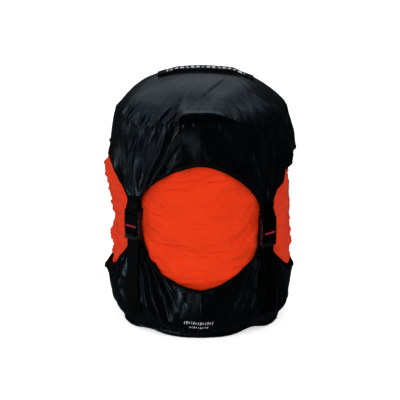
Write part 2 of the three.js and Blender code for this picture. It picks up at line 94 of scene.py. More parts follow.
def lock_z(arm):
    """Height of a lock's middle."""
    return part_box("ladder_lock_" + arm)[1].z / MM - LOCK_HALF_HEIGHT


LOCK_Z = {arm: lock_z(arm) for arm in ARMS}
MEAN_LOCK_Z = sum(LOCK_Z.values()) / len(LOCK_Z)


# ---- Numbers and noise --------------------------------------------------------------------------------
def smooth(x, low=0.0, high=1.0):
    """0 below low, 1 above high, and a smooth step between them."""
    t = np.clip((np.asarray(x, float) - low) / (high - low), 0, 1)
    return t * t * (3 - 2 * t)


def bell(x, width):
    """1 at zero, falling away on both sides over about that width."""
    return np.exp(-((np.asarray(x, float) / width) ** 2))


def angle_apart(a, b):
    """Signed angle from b to a, in degrees."""
    return (np.asarray(a, float) - b + 180) % 360 - 180


def ripples(azimuth, z, seed, wave_round, wave_up, count=12):
    """Smooth noise of about unit size: waves of about those lengths round the girth and up it, in mm."""
    rng = np.random.default_rng(seed)
    girth = 2 * math.pi * GIRTH_RADIUS
    total = 0.0
    for _ in range(count):
        turns = round(girth / (wave_round * rng.uniform(0.6, 1.6))) * rng.choice([-1, 1])
        rise = 360 / (wave_up * rng.uniform(0.6, 1.6))
        total = total + np.cos(np.radians(turns * azimuth + rise * z + rng.uniform(0, 360)))
    return total / math.sqrt(count / 2)


def around(azimuth, radius, z):
    """Points in the row frame, in mm, from cylinder coordinates."""
    a = np.radians(azimuth)
    a, radius, z = np.broadcast_arrays(a, radius, z)
    return np.stack([radius * np.sin(a), -radius * np.cos(a), z], axis=-1)


def unit(vectors):
    """The same directions with a length of 1."""
    return vectors / np.linalg.norm(vectors, axis=1, keepdims=True)


def lengths_along(points):
    """Distance of each point from the first, along the path through them."""
    return np.concatenate([[0], np.cumsum(np.linalg.norm(np.diff(points, axis=0), axis=1))])


def at_lengths(wanted, along, values):
    """The values at the wanted distances, from those at the distances in along."""
    return np.stack([np.interp(wanted, along, column) for column in values.T], -1)


# ---- Meshes -------------------------------------------------------------------------------------------
def add_object(name, points, faces, material, uvs=None):
    """A smooth-shaded mesh object from points in mm."""
    mesh = bpy.data.meshes.new(name)
    mesh.from_pydata((np.asarray(points, float) * MM).tolist(), [], faces)
    mesh.validate()
    mesh.shade_smooth()
    if uvs is not None:
        layer = mesh.uv_layers.new(name="UVMap")
        corner = np.zeros(len(mesh.loops), np.int64)
        mesh.loops.foreach_get("vertex_index", corner)
        layer.data.foreach_set("uv", (np.asarray(uvs, float) * MM)[corner].ravel())
    mesh.materials.append(material)
    obj = bpy.data.objects.new(name, mesh)
    bpy.context.scene.collection.objects.link(obj)
    return obj


def grid_faces(columns, rows, close_columns=False, close_rows=False):
    """Quads over a grid of points that is stored column by column."""
    i = np.arange(columns if close_columns else columns - 1)
    j = np.arange(rows if close_rows else rows - 1)
    i, j = np.meshgrid(i, j, indexing="ij")
    right = (i + 1) % columns
    above = (j + 1) % rows
    corners = [i * rows + j, right * rows + j, right * rows + above, i * rows + above]
    return np.stack(corners, -1).reshape(-1, 4)


def sheet_object(name, points, material, close_columns=False, uvs=None):
    columns, rows = points.shape[:2]
    faces = grid_faces(columns, rows, close_columns).tolist()
    flat_uvs = None if uvs is None else uvs.reshape(-1, 2)
    return add_object(name, points.reshape(-1, 3), faces, material, flat_uvs)


def round_object(name, points, middle, material, uvs=None):
    """A surface round the axis, closed by a fan from its first ring to its middle point."""
    columns, rows = points.shape[:2]
    flat = np.vstack([points.reshape(-1, 3), middle])
    faces = grid_faces(columns, rows, True).tolist()
    faces += [[columns * rows, ((i + 1) % columns) * rows, i * rows] for i in range(columns)]
    obj = add_object(name, flat, faces, material, flat[:, :2] if uvs is None else uvs)
    fix_normals(obj)
    return obj


def give_thickness(obj, thickness):
    """Thickness inwards, in mm."""
    modifier = obj.modifiers.new("thickness", "SOLIDIFY")
    modifier.thickness = thickness * MM
    modifier.offset = -1
    return obj


def sweep(name, centres, firsts, seconds, section, material, closed=False):
    """A solid swept along centres. section holds (first, second) pairs, along the two side vectors."""
    centres, firsts, seconds = (np.asarray(a, float) for a in (centres, firsts, seconds))
    section = np.asarray(section, float)
    if section.ndim == 2:
        section = np.broadcast_to(section, (len(centres), *section.shape))
    points = centres[:, None] + section[..., :1] * firsts[:, None] + section[..., 1:] * seconds[:, None]
    steps, sides = points.shape[:2]
    faces = grid_faces(steps, sides, closed, True).tolist()
    if not closed:
        faces.append(list(range(sides)))
        faces.append([(steps - 1) * sides + k for k in reversed(range(sides))])
    obj = add_object(name, points.reshape(-1, 3), faces, material)
    fix_normals(obj)
    return obj


def fix_normals(obj):
    """Turns every face the same way, outwards on a closed solid."""
    mesh = bmesh.new()
    mesh.from_mesh(obj.data)
    bmesh.ops.recalc_face_normals(mesh, faces=mesh.faces)
    mesh.to_mesh(obj.data)
    mesh.free()


def stitch_rows(name, rows, body):
    """Stitches along rows, each of which has points in mm and the fabric's outward directions there."""
    length, width, height, pitch = 1.7, 0.5, 0.36, 2.5
    corners = np.array([(a, b, c) for a in (-0.5, 0.5) for b in (-0.5, 0.5) for c in (-0.5, 0.5)])
    sides = np.array([(0, 1, 3, 2), (4, 6, 7, 5), (0, 4, 5, 1), (2, 3, 7, 6), (0, 2, 6, 4), (1, 5, 7, 3)])
    points, faces = [], []
    for row, outwards in rows:
        row, outwards = np.asarray(row, float), np.asarray(outwards, float)
        along = lengths_along(row)
        wanted = np.arange(pitch / 2, along[-1], pitch)
        centres = at_lengths(wanted, along, row)
        normal = at_lengths(wanted, along, outwards)
        tangent = unit(at_lengths(wanted + 0.5, along, row) - at_lengths(wanted - 0.5, along, row))
        across = np.cross(normal, tangent)
        for centre, t, n, a in zip(centres, tangent, normal, across):
            box = centre + corners * (length, width, height) @ np.array([t, a, n])
            faces += (sides + len(points)).tolist()
            points += box.tolist()
    stitches = add_object(name, points, faces, THREAD)
    fix_normals(stitches)
    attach(stitches, body)


def rounded_section(half_width, half_height, corner, steps=3):
    """Outline of a rectangle with rounded corners, anticlockwise."""
    outline = []
    for quarter, (sx, sy) in enumerate([(1, 1), (-1, 1), (-1, -1), (1, -1)]):
        for k in range(steps + 1):
            a = math.radians(90 * quarter + 90 * k / steps)
            x = sx * (half_width - corner) + corner * math.cos(a)
            y = sy * (half_height - corner) + corner * math.sin(a)
            outline.append((x, y))
    return np.array(outline)


def resample(path, pitch):
    """Evenly spaced points along a path, with its corners rounded by a spline."""
    path = np.asarray(path, float)
    fine = [path[0]]
    padded = np.vstack([2 * path[0] - path[1], path, 2 * path[-1] - path[-2]])
    for p0, p1, p2, p3 in zip(padded, padded[1:], padded[2:], padded[3:]):
        for t in np.linspace(0, 1, 17)[1:]:
            a = 2 * p1 + (p2 - p0) * t
            b = (2 * p0 - 5 * p1 + 4 * p2 - p3) * t * t
            c = (3 * p1 - p0 - 3 * p2 + p3) * t * t * t
            fine.append((a + b + c) / 2)
    fine = np.array(fine)
    along = lengths_along(fine)
    wanted = np.linspace(0, along[-1], max(2, round(along[-1] / pitch) + 1))
    return at_lengths(wanted, along, fine), wanted


# ---- Materials ----------------------------------------------------------------------------------------
class Nodes:
    """A material's node tree, built a node at a time."""

    def __init__(self, name, **values):
        self.material = bpy.data.materials.new(name)
        self.material.use_nodes = True
        self.tree = self.material.node_tree
        self.shader = self.tree.nodes["Principled BSDF"]
        for key, value in values.items():
            self.shader.inputs[key.replace("_", " ")].default_value = value
        self.coordinates = self.add("ShaderNodeTexCoord")

    def add(self, kind, inputs=(), **settings):
        node = self.tree.nodes.new(kind)
        for key, value in settings.items():
            setattr(node, key, value)
        for key, value in dict(inputs).items():
            self.feed(node.inputs[key], value)
        return node

    def feed(self, socket, value):
        if isinstance(value, bpy.types.NodeSocket):
            self.tree.links.new(value, socket)
        elif value is not None:
            socket.default_value = value

    def math(self, operation, a, b=None, c=None):
        node = self.add("ShaderNodeMath", operation=operation)
        for socket, value in zip(node.inputs, (a, b, c)):
            self.feed(socket, value)
        return node.outputs[0]

    def noise(self, vector, scale, detail=2.0, roughness=0.5):
        inputs = {"Vector": vector, "Scale": scale, "Detail": detail, "Roughness": roughness}
        return self.add("ShaderNodeTexNoise", inputs).outputs["Fac"]

    def mix(self, share, a, b):
        node = self.add("ShaderNodeMix", data_type="RGBA")
        self.feed(node.inputs["Factor"], share)
        self.feed(node.inputs[6], a)
        self.feed(node.inputs[7], b)
        return node.outputs[2]

    def map_range(self, value, low, high, to_low, to_high):
        inputs = {"Value": value, "From Min": low, "From Max": high, "To Min": to_low, "To Max": to_high}
        return self.add("ShaderNodeMapRange", inputs).outputs[0]

    def scaled(self, vector, scale):
        return self.add("ShaderNodeVectorMath", {0: vector, 1: scale}, operation="MULTIPLY").outputs[0]

    def weave(self, vector, pitch):
        """Height of a plain weave, 0 to 1, over the first two coordinates."""
        split = self.add("ShaderNodeSeparateXYZ", {0: vector})
        turn = math.pi / (pitch * MM)
        across = self.math("SINE", self.math("MULTIPLY", split.outputs[0], turn))
        up = self.math("SINE", self.math("MULTIPLY", split.outputs[1], turn))
        return self.math("MULTIPLY_ADD", self.math("MULTIPLY", across, up), 0.5, 0.5)

    def bump(self, height, distance, strength=1.0, normal=None):
        inputs = {"Height": height, "Distance": distance * MM, "Strength": strength, "Normal": normal}
        return self.add("ShaderNodeBump", inputs).outputs[0]

    def use(self, **links):
        for key, value in links.items():
            self.feed(self.shader.inputs[key.replace("_", " ")], value)
        return self.material


def fabric_material(name, colour, darker, roughness, weave_pitch, crinkle, **values):
    """Thin woven nylon: colour that varies a little, a fine weave and soft crinkles."""
    n = Nodes(name, **values)
    place = n.coordinates.outputs["Object"]
    patches = n.noise(place, 45, 3)
    fine = n.noise(place, 900, 2)
    shade = n.map_range(n.math("MULTIPLY_ADD", fine, 0.35, patches), 0.45, 0.9, 0, 1)
    rough = n.map_range(patches, 0.3, 0.7, roughness - 0.05, roughness + 0.06)
    threads = n.bump(n.weave(n.coordinates.outputs["UV"], weave_pitch), 0.05, 0.5)
    creased = n.bump(n.noise(n.scaled(place, (1, 1, 1.6)), 130, 3, 0.6), crinkle, 0.7, threads)
    return n.use(Base_Color=n.mix(shade, darker, colour), Roughness=rough, Normal=creased)


def webbing_material(name, colour, darker, roughness=0.6):
    """Ribbed webbing: yarns show as rows across it, which its mesh has too."""
    n = Nodes(name, Specular_IOR_Level=0.12)
    place = n.coordinates.outputs["Object"]
    yarn = n.noise(n.scaled(place, (1, 1, 3)), 1500, 2)
    dust = n.noise(place, 120, 2)
    shade = n.map_range(n.math("MULTIPLY_ADD", yarn, 0.6, dust), 0.55, 1.05, 0, 1)
    fuzz = n.bump(yarn, 0.08, 0.6)
    return n.use(Base_Color=n.mix(shade, darker, colour), Roughness=roughness, Normal=fuzz)


def plastic_material(name, colour, darker, roughness):
    """Satin moulded plastic with a faint sparked texture and duller patches."""
    n = Nodes(name, Specular_IOR_Level=0.34)
    place = n.coordinates.outputs["Object"]
    grain = n.noise(place, 2500, 2)
    patches = n.noise(place, 160, 3)
    rough = n.map_range(patches, 0.3, 0.7, roughness - 0.06, roughness + 0.08)
    return n.use(Base_Color=n.mix(patches, darker, colour), Roughness=rough, Normal=n.bump(grain, 0.02, 0.4))


def handle_material():
    """Black webbing with a pale woven border of small blocks, wedges and bars."""
    n = Nodes("handle_webbing", Roughness=0.66, Specular_IOR_Level=0.25)
    place = n.coordinates.outputs["Object"]
    split = n.add("ShaderNodeSeparateXYZ", {0: place})
    x, y = split.outputs[0], split.outputs[1]
    block_pitch = 0.0052
    row_middle, row_half = 0.005, 0.0385
    cell = n.math("DIVIDE", x, block_pitch)
    inside = n.math("FRACT", cell)
    number = n.math("FLOOR", cell)
    lean = n.math("MULTIPLY", n.math("SUBTRACT", n.math("PINGPONG", number, 3), 1.5), 0.16)
    slanted = n.math("MULTIPLY_ADD", n.math("DIVIDE", y, 0.006), lean, inside)
    half_block = n.map_range(n.math("PINGPONG", n.math("MULTIPLY", number, 0.7), 1), 0, 1, 0.2, 0.38)
    gap = n.math("GREATER_THAN", n.math("ABSOLUTE", n.math("SUBTRACT", slanted, 0.5)), half_block)
    tall = n.map_range(n.math("PINGPONG", n.math("MULTIPLY", number, 0.43), 1), 0, 1, 0.0032, 0.0048)
    edge = n.math("GREATER_THAN", n.math("ABSOLUTE", y), tall)
    every_third = n.math("LESS_THAN", n.math("MODULO", n.math("ABSOLUTE", number), 3), 0.5)
    middle = n.math("LESS_THAN", n.math("ABSOLUTE", n.math("SUBTRACT", y, 0.0008)), 0.001)
    blank = n.math("MAXIMUM", n.math("MAXIMUM", gap, edge), n.math("MULTIPLY", every_third, middle))
    beyond = n.math("GREATER_THAN", n.math("ABSOLUTE", n.math("SUBTRACT", x, row_middle)), row_half)
    pale = n.math("SUBTRACT", 1, n.math("MAXIMUM", blank, beyond))
    yarn = n.noise(n.scaled(place, (3, 1, 1)), 1300, 2)
    worn = n.math("MULTIPLY", pale, n.map_range(yarn, 0.3, 0.6, 0.6, 1))
    return n.use(
        Base_Color=n.mix(worn, (0.0016, 0.0018, 0.0022, 1), (0.66, 0.68, 0.7, 1)),
        Normal=n.bump(yarn, 0.08, 0.6),
    )


BLACK_NYLON = fabric_material(
    "black_nylon_fabric",
    (0.0013, 0.0017, 0.0022, 1),
    (0.0007, 0.0009, 0.0012, 1),
    0.35,
    0.4,
    0.4,
    Specular_Tint=(0.66, 0.84, 1.0, 1),
    Sheen_Weight=0.03,
    Sheen_Roughness=0.4,
    Sheen_Tint=(0.6, 0.8, 1.0, 1),
)
ORANGE_NYLON = fabric_material(
    "orange_nylon_fabric",
    (0.86, 0.044, 0.0085, 1),
    (0.8, 0.037, 0.007, 1),
    0.55,
    0.4,
    0.25,
    Specular_IOR_Level=0.12,
    Specular_Tint=(1.0, 0.45, 0.25, 1),
)
TAPE_BLACK = (0.0016, 0.0018, 0.0022, 1)
BLACK_TAPE = webbing_material("binding_tape", TAPE_BLACK, (0.0008, 0.0009, 0.0012, 1), 0.7)
STRAP_BLACK = (0.001, 0.0012, 0.0015, 1)
BLACK_WEBBING = webbing_material("strap_webbing", STRAP_BLACK, (0.0005, 0.0006, 0.0008, 1), 0.62)
BLACK_ACETAL = plastic_material("lock_acetal", (0.003, 0.0032, 0.0036, 1), (0.0018, 0.002, 0.0022, 1), 0.28)
RED_YARN = webbing_material("red_yarn", (0.42, 0.02, 0.04, 1), (0.25, 0.01, 0.02, 1))
PALE_PRINT = webbing_material("pale_print", (0.62, 0.65, 0.68, 1), (0.35, 0.38, 0.42, 1))
THREAD = webbing_material("black_thread", (0.012, 0.013, 0.015, 1), (0.005, 0.0055, 0.006, 1))
HANDLE_WEBBING = handle_material()


# ---- Camera, light and floor --------------------------------------------------------------------------
VIEW_DISTANCE = 2.4
VIEW_ELEVATION = math.radians(15.5)
VIEW_CENTRE = Vector((0, 0, 0.128))
SENSOR = 36.0
VIEW_WIDTH = 0.4  # what the frame takes in at the object's middle, in metres


def make_camera():
    data = bpy.data.cameras.new("camera")
    data.sensor_width = SENSOR
    data.lens = SENSOR * VIEW_DISTANCE / VIEW_WIDTH
    data.shift_x = -0.00125
    data.shift_y = -0.02125
    camera = bpy.data.objects.new("camera", data)
    back = Vector((0, -math.cos(VIEW_ELEVATION), math.sin(VIEW_ELEVATION)))
    camera.location = VIEW_CENTRE + back * VIEW_DISTANCE
    camera.rotation_euler = (-back).to_track_quat("-Z", "Y").to_euler()
    bpy.context.scene.collection.objects.link(camera)
    bpy.context.scene.camera = camera


def add_light(name, azimuth, elevation, distance, size, power, colour, diffuse=True, glossy=True):
    """An area light that faces the object's middle, from angles in degrees and a distance in metres."""
    data = bpy.data.lights.new(name, "AREA")
    data.shape = "RECTANGLE"
    data.size, data.size_y = size
    data.energy = power
    data.color = colour
    light = bpy.data.objects.new(name, data)
    a, e = math.radians(azimuth), math.radians(elevation)
    away = Vector((math.sin(a) * math.cos(e), -math.cos(a) * math.cos(e), math.sin(e)))
    light.location = VIEW_CENTRE + away * distance
    light.rotation_euler = (-away).to_track_quat("-Z", "Y").to_euler()
    light.visible_diffuse = diffuse
    light.visible_glossy = glossy
    bpy.context.scene.collection.objects.link(light)


def make_world():
    world = bpy.data.worlds.new("studio")
    world.use_nodes = True
    background = world.node_tree.nodes["Background"]
    background.inputs["Color"].default_value = (1, 1, 1, 1)
    background.inputs["Strength"].default_value = 0.7
    bpy.context.scene.world = world
    world.cycles_visibility.glossy = False


def make_floor():
    n = Nodes("studio_floor", Roughness=0.9, Specular_IOR_Level=0.1)
    cloud = n.noise(n.coordinates.outputs["Object"], 6, 2)
    material = n.use(Base_Color=n.mix(cloud, (0.93, 0.93, 0.93, 1), (0.97, 0.97, 0.97, 1)))
    n.shader.inputs["Emission Color"].default_value = (1, 1, 1, 1)
    n.shader.inputs["Emission Strength"].default_value = 0.6
    half, z = 4000.0, -0.3  # in mm: just under what stands on it
    corners = [(-half, -half, z), (half, -half, z), (half, half, z), (-half, half, z)]
    floor = add_object("studio_floor", corners, [[0, 1, 2, 3]], material)
    # It neither colours the object nor shades it, and the low light shines through it.
    floor.visible_glossy = False
    floor.visible_diffuse = False
    floor.visible_shadow = False


bpy.context.scene.view_settings.view_transform = "Standard"
make_camera()
make_world()
make_floor()
# The first light gives the fabrics their colour. The others only make highlights.
add_light("front_fill", -12, 24, 2.2, (2.4, 1.6), 18.5, (1.0, 0.99, 0.97), glossy=False)
add_light("overhead", 200, 54, 1.5, (1.9, 1.3), 6.6, (0.84, 0.93, 1.0), diffuse=False)
add_light("left_panel", -84, 26, 1.5, (0.24, 0.7), 2.4, (0.8, 0.92, 1.0), diffuse=False)
add_light("low_left", -52, -22, 1.6, (0.2, 0.4), 3.8, (0.8, 0.92, 1.0), diffuse=False)
add_light("right_top", 105, 52, 1.5, (0.5, 0.5), 1.2, (0.85, 0.94, 1.0), diffuse=False)
add_light("camera_side", -15, -4, 2.0, (0.3, 0.3), 1.1, (0.9, 0.97, 1.0), diffuse=False)


# ---- Shape of the caps --------------------------------------------------------------------------------
def cubic(shape, t):
    """A cubic through zero, with shape's three coefficients."""
    a, b, c = shape
    return t * (a + t * (b + t * c))


def top_radius(z, lock):
    """Radius of the top skirt without folds, where its lock's middle is at height lock."""
    return TOP_SEAM_RADIUS + cubic(TOP_SHAPE, (TOP_SEAM_Z - z) / (TOP_SEAM_Z - lock - TOP_ARM_END))


def bottom_radius(z, lock):
    """Radius of the bottom skirt without folds, where its lock's middle is at height lock."""
    full = lock - BOTTOM_ARM_FULL
    return BASE_SEAM_RADIUS + cubic(BASE_SHAPE, (np.minimum(z, full) - BASE_SEAM_Z) / (full - BASE_SEAM_Z))


def top_seam(azimuth):
    """Height of the lid's seam: the straps pull it down at the arms, and it rises at the front and back."""
    z = 217.5 + 5.0 * (bell(angle_apart(azimuth, 0), 24) + bell(angle_apart(azimuth, 180), 24))
    for arm_azimuth in ARMS.values():
        z = z - 6.5 * bell(angle_apart(azimuth, arm_azimuth), 16)
    return z


def lid_hem_lift(azimuth):
    """How far the lid's edge is folded up over the front and the back, where it overhangs the skirt."""
    from_front = angle_apart(azimuth, 0)
    front = smooth(from_front, -17, -10) * (1 - smooth(from_front, 6, 31))
    back = np.exp(-((angle_apart(azimuth, 176) / 14) ** 4))
    return 7.5 * front + 3.5 * back


def base_seam(azimuth):
    """Height of the base's seam, which wanders a little."""
    return BASE_SEAM_Z + 0.5 * ripples(np.asarray(azimuth, float), 0.0, 5, 120, 90, 6)


FAN_BACK = 14.0  # the folds of an arm meet this far behind its end, in mm

# Folds that fan out from an arm's end: angle from the arm's middle line, height (negative for a furrow) and
# width in mm, and the distances from the arm's end between which they run.
TOP_FOLDS = {
    "front_left": [
        (-31, 1.4, 4.0, 6, 60),
        (-24, -1.2, 1.8, 10, 75),
        (-15, 1.7, 4.6, 8, 95),
        (-4, -1.9, 1.7, 12, 92),
        (2, 1.6, 3.6, 4, 80),
        (9, -1.3, 1.5, 55, 95),
        (13, 1.5, 3.4, 20, 80),
        (18, -1.0, 1.3, 14, 60),
        (22.5, 1.9, 3.2, 12, 95),
        (26, -2.1, 1.5, 14, 110),
        (29, 1.5, 2.4, 22, 100),
        (34, -1.0, 1.4, 30, 90),
        (38, 1.5, 3.0, 16, 85),
        (42.5, -1.9, 1.5, 20, 82),
        (45, 1.3, 2.0, 18, 78),
        (50, -0.9, 1.3, 28, 66),
    ],
    "front_right": [
        (-33, 1.3, 3.6, 8, 58),
        (-27, -1.0, 1.6, 12, 70),
        (-19, 1.5, 3.6, 6, 88),
        (-12, -1.5, 1.6, 10, 80),
        (-6, 1.4, 2.8, 20, 92),
        (-1, -1.6, 1.5, 12, 95),
        (4, 1.2, 2.4, 8, 70),
        (10, -1.0, 1.4, 30, 90),
        (17, 1.4, 3.2, 10, 90),
        (22, -1.4, 1.5, 16, 96),
        (28, 1.3, 2.2, 22, 100),
        (33, -1.1, 1.5, 26, 92),
        (39, 1.2, 2.6, 14, 80),
        (44, -1.3, 1.4, 22, 78),
    ],
}
TOP_FOLDS["back_right"] = [(-a, *rest) for a, *rest in TOP_FOLDS["front_left"]]
TOP_FOLDS["back_left"] = [(-a, *rest) for a, *rest in TOP_FOLDS["front_right"]]
BOTTOM_FOLDS = {
    "front_left": [
        (-34, 1.2, 3.4, 8, 60),
        (-25, -1.1, 1.7, 10, 72),
        (-17, 1.3, 3.4, 14, 84),
        (8, -1.2, 1.6, 8, 80),
        (12, 1.5, 2.6, 6, 78),
        (16, -1.4, 1.5, 10, 88),
        (20, 1.6, 2.6, 12, 92),
        (24.5, -1.5, 1.5, 8, 86),
        (28.5, 1.3, 2.2, 20, 84),
        (33, -1.2, 1.5, 16, 74),
        (38, 1.2, 2.4, 14, 70),
        (44, -0.8, 1.4, 20, 62),
    ],
    "front_right": [
        (-36, 1.1, 3.0, 10, 56),
        (-28, -1.0, 1.6, 12, 70),
        (-20, 1.2, 2.8, 8, 82),
        (-13, -1.2, 1.6, 10, 76),
        (13, 1.1, 2.4, 14, 82),
        (19, -1.2, 1.5, 8, 80),
        (26, 1.2, 2.6, 12, 86),
        (34, -1.0, 1.5, 16, 70),
    ],
}
BOTTOM_FOLDS["back_right"] = [(-a, *rest) for a, *rest in BOTTOM_FOLDS["front_left"]]
BOTTOM_FOLDS["back_left"] = [(-a, *rest) for a, *rest in BOTTOM_FOLDS["front_right"]]


def fan_folds(w, z, end, up, folds):
    """Height of an arm's folds at points w along the girth from its middle."""
    rise = np.maximum(up * (z - end) + FAN_BACK, 0.5)
    angle = np.degrees(np.arctan2(w, rise))
    out = np.hypot(w, rise)
    angle = angle + 1.3 * np.sin(out / 19 + angle / 9) + 0.6 * np.sin(out / 7 + angle / 4)
    height = np.zeros_like(angle)
    for place, size, width, first, last in folds:
        off = np.radians(angle - place) * out
        spread = width * (0.55 + out / 110)
        past = out - FAN_BACK
        ends = smooth(past, first - 8, first + 10) * (1 - smooth(past, last - 20, last + 8))
        height = height + size * ends * np.exp(-np.abs(off / spread) ** 1.6)
    return height


def skirt_relief(azimuth, arm_azimuth, z, end, up, seam_z, folds):
    """How far the fabric stands out from the skirt's smooth shape."""
    w = np.radians(angle_apart(azimuth, arm_azimuth)) * GIRTH_RADIUS
    to_border = QUARTER - np.abs(w)
    from_seam = np.abs(seam_z - z)
    seed = 20 if up > 0 else 30
    inner = smooth(to_border, -2, 10)
    fold_size = 1.45 if up > 0 else 2.1
    relief = fold_size * fan_folds(w, z, end, up, folds) * inner * smooth(from_seam, -4, 10)
    relief = relief + 0.8 * ripples(azimuth, z, seed + 1, 46, 60) * smooth(from_seam, 0, 12)
    relief = relief + 0.16 * ripples(azimuth, z, seed + 3, 12, 26, 16)
    relief = relief + 0.5 * ripples(azimuth, 0.15 * z, seed + 5, 7, 60, 14) * bell(from_seam, 7)
    seam_ridge = 2.2 * np.exp(-to_border / 8)  # the panels' seam allowances lift the fabric here
    return relief * smooth(to_border, -6, 6) + seam_ridge


def edge_path(end, up, count):
    """An arm's free edge from its middle outwards: distance along the girth, and height, evenly spaced.

    Beside the lock it runs straight up and down, and then it widens into the openings on both sides.
    """
    widens = end + 3.5 if up > 0 else BOTTOM_WIDENS
    turn = np.linspace(0, math.pi / 2, 60)
    out = (QUARTER - TIP_HALF) * (1 - np.cos(turn) ** (2 / OPENING_ROUND))
    rise = (OPENING_PEAK[up] - widens) * np.sin(turn) ** (2 / OPENING_ROUND)
    curve = np.stack([TIP_HALF + out, widens + rise], -1)
    path = np.vstack([[(0, end), (TIP_HALF - 1.2, end), (TIP_HALF, end + 1.2 * up)], curve])
    along = lengths_along(path)
    return at_lengths(np.linspace(0, along[-1], count), along, path)


def tucked_under(azimuth, z):
    """1 where the skirt lies back under the lid's folded edge, 0 away from it."""
    return smooth(z - top_seam(azimuth), -5, 1) * smooth(lid_hem_lift(azimuth), 0.5, 4)


class Cap:
    """One cap's skirt: its arms' ends, its smooth radius and its folds."""

    def __init__(self, name, up):
        self.name = name
        self.up = up
        self.radius = top_radius if up > 0 else bottom_radius
        self.seam = top_seam if up > 0 else base_seam
        self.folds = TOP_FOLDS if up > 0 else BOTTOM_FOLDS
        self.ends = {arm: z + (TOP_ARM_END if up > 0 else BOTTOM_ARM_END) for arm, z in LOCK_Z.items()}
        self.body = "top_cap" if up > 0 else "base"

    def surface(self, arm, azimuth, z):
        """Radius of an arm's panel with its folds, its flare at the openings and its slack at the sides."""
        beside = np.abs(angle_apart(azimuth, ARMS[arm])) / 45
        lock = LOCK_Z[arm] + (MEAN_LOCK_Z - LOCK_Z[arm]) * smooth(beside, 0.3, 1)
        fold_end = LOCK_Z[arm] + (TOP_ARM_END if self.up > 0 else -BOTTOM_ARM_FULL)
        seam_z = self.seam(azimuth)
        relief = skirt_relief(azimuth, ARMS[arm], z, fold_end, self.up, seam_z, self.folds[arm])
        # The openings' edges stand out, and the sides hang closer in than the front.
        flare = 1.2 * bell(z - OPENING_PEAK[self.up], 9) * smooth(beside, 0.55, 1)
        at_left = bell(angle_apart(azimuth, -90), 42)
        at_right = bell(angle_apart(azimuth, 90), 42)
        if self.up > 0:
            flare = flare - at_left * (2.6 * smooth(z, 165, 180) + 1.2 * bell(z - 188, 14))
        else:
            flare = flare - (1.6 * at_left + 2.4 * at_right) * smooth(z, 16, 28)
            # The left opening's lower edge sticks out, the seam is pinched, and the arms' ends lie back.
            flare = flare + 3.4 * bell(angle_apart(azimuth, -88), 20) * bell(z - 61, 8)
            flare = flare - 1.6 * bell(z - BASE_SEAM_Z, 7)
            flare = flare - 0.9 * smooth(z - LOCK_Z[arm], 4, 9)
        if self.up > 0:
            relief = relief * (1 - 0.6 * tucked_under(azimuth, z)) - 3.6 * tucked_under(azimuth, z)
        return self.radius(z, lock) + relief + flare

    def edge_shift(self, azimuth):
        """How far up each point of the openings' edges is moved out of its round shape."""
        if self.up < 0:
            return 0.0 * azimuth
        front = 1.1 * bell(angle_apart(azimuth, 1), 16)
        return front - 5.0 * bell(angle_apart(azimuth, 86), 17) + 2.0 * bell(angle_apart(azimuth, -88), 14)

    def panel_grid(self, arm, columns, rows):
        half = edge_path(self.ends[arm], self.up, columns // 2 + 1)
        edge = np.vstack([half[:0:-1] * (-1, 1), half])
        edge[:, 1] += self.edge_shift(ARMS[arm] + np.degrees(edge[:, 0] / GIRTH_RADIUS))
        s = np.linspace(-1, 1, len(edge))
        v = np.linspace(0, 1, rows)
        w = edge[:, :1] * (1 - v) + (s * QUARTER)[:, None] * v
        azimuth = ARMS[arm] + np.degrees(w / GIRTH_RADIUS)
        top = self.seam(azimuth)
        if self.up > 0:
            top = top + lid_hem_lift(azimuth)
        z = edge[:, 1:] * (1 - v) + top * v
        return azimuth, z

    def panel(self, arm):
        azimuth, z = self.panel_grid(arm, 240, 130)
        points = around(azimuth, self.surface(arm, azimuth, z), z)
        uvs = np.stack([np.radians(azimuth) * GIRTH_RADIUS, z], -1)
        if self.up < 0:
            points, uvs = points[:, ::-1], uvs[:, ::-1]
        obj = sheet_object(f"{self.name}_skirt_{arm}_fabric", points, BLACK_NYLON, uvs=uvs)
        give_thickness(obj, FABRIC)
        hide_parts(f"{self.name}_skirt_{arm}")
        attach(obj, self.body)

    def opening_edge(self, opening, count=110):
        """Points along one opening's edge, from the arm before it to the arm after it."""
        names = list(ARMS)
        k = list(OPENINGS).index(opening)
        sides = []
        for arm, side in ((names[k], 1), (names[(k + 1) % 4], -1)):
            path = edge_path(self.ends[arm], self.up, count)
            path = path[path[:, 0] > TIP_HALF - 1.3]
            azimuth = OPENINGS[opening] + side * (np.degrees(path[:, 0] / GIRTH_RADIUS) - 45)
            z = path[:, 1] + self.edge_shift(azimuth)
            sides.append(np.stack([azimuth, z, self.surface(arm, azimuth, z)]))
        return np.hstack([sides[0], sides[1][:, -2::-1]])

    def binding(self, opening):
        azimuth, z, radius = self.opening_edge(opening)
        centres = around(azimuth, radius - 0.25, z)
        tangent = unit(np.gradient(centres, axis=0))
        sideways = unit(np.cross(tangent, around(azimuth, 1.0, 0.0)))
        outwards = np.cross(sideways, tangent)
        if self.up < 0:
            sideways = -sideways
        tape = rounded_section(1.9, 0.8, 0.65)
        centres = centres - sideways * 1.8
        obj = sweep(f"{self.name}_binding_{opening}_tape", centres, sideways, outwards, tape, BLACK_TAPE)
        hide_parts(f"{self.name}_binding_{opening}")
        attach(obj, self.body)
        seam = centres - sideways * 1.0 + outwards * 0.85
        stitch_rows(f"{self.name}_binding_{opening}_stitches", [(seam, outwards)], self.body)


TOP = Cap("top", 1)
BOTTOM = Cap("bottom", -1)
for cap in (TOP, BOTTOM):
    for arm_name in ARMS:
        cap.panel(arm_name)
    for opening_name in OPENINGS:
        cap.binding(opening_name)


# ---- Small print low on the front ---------------------------------------------------------------------
PRINT_SLANT = 0.25  # every bar leans the same way


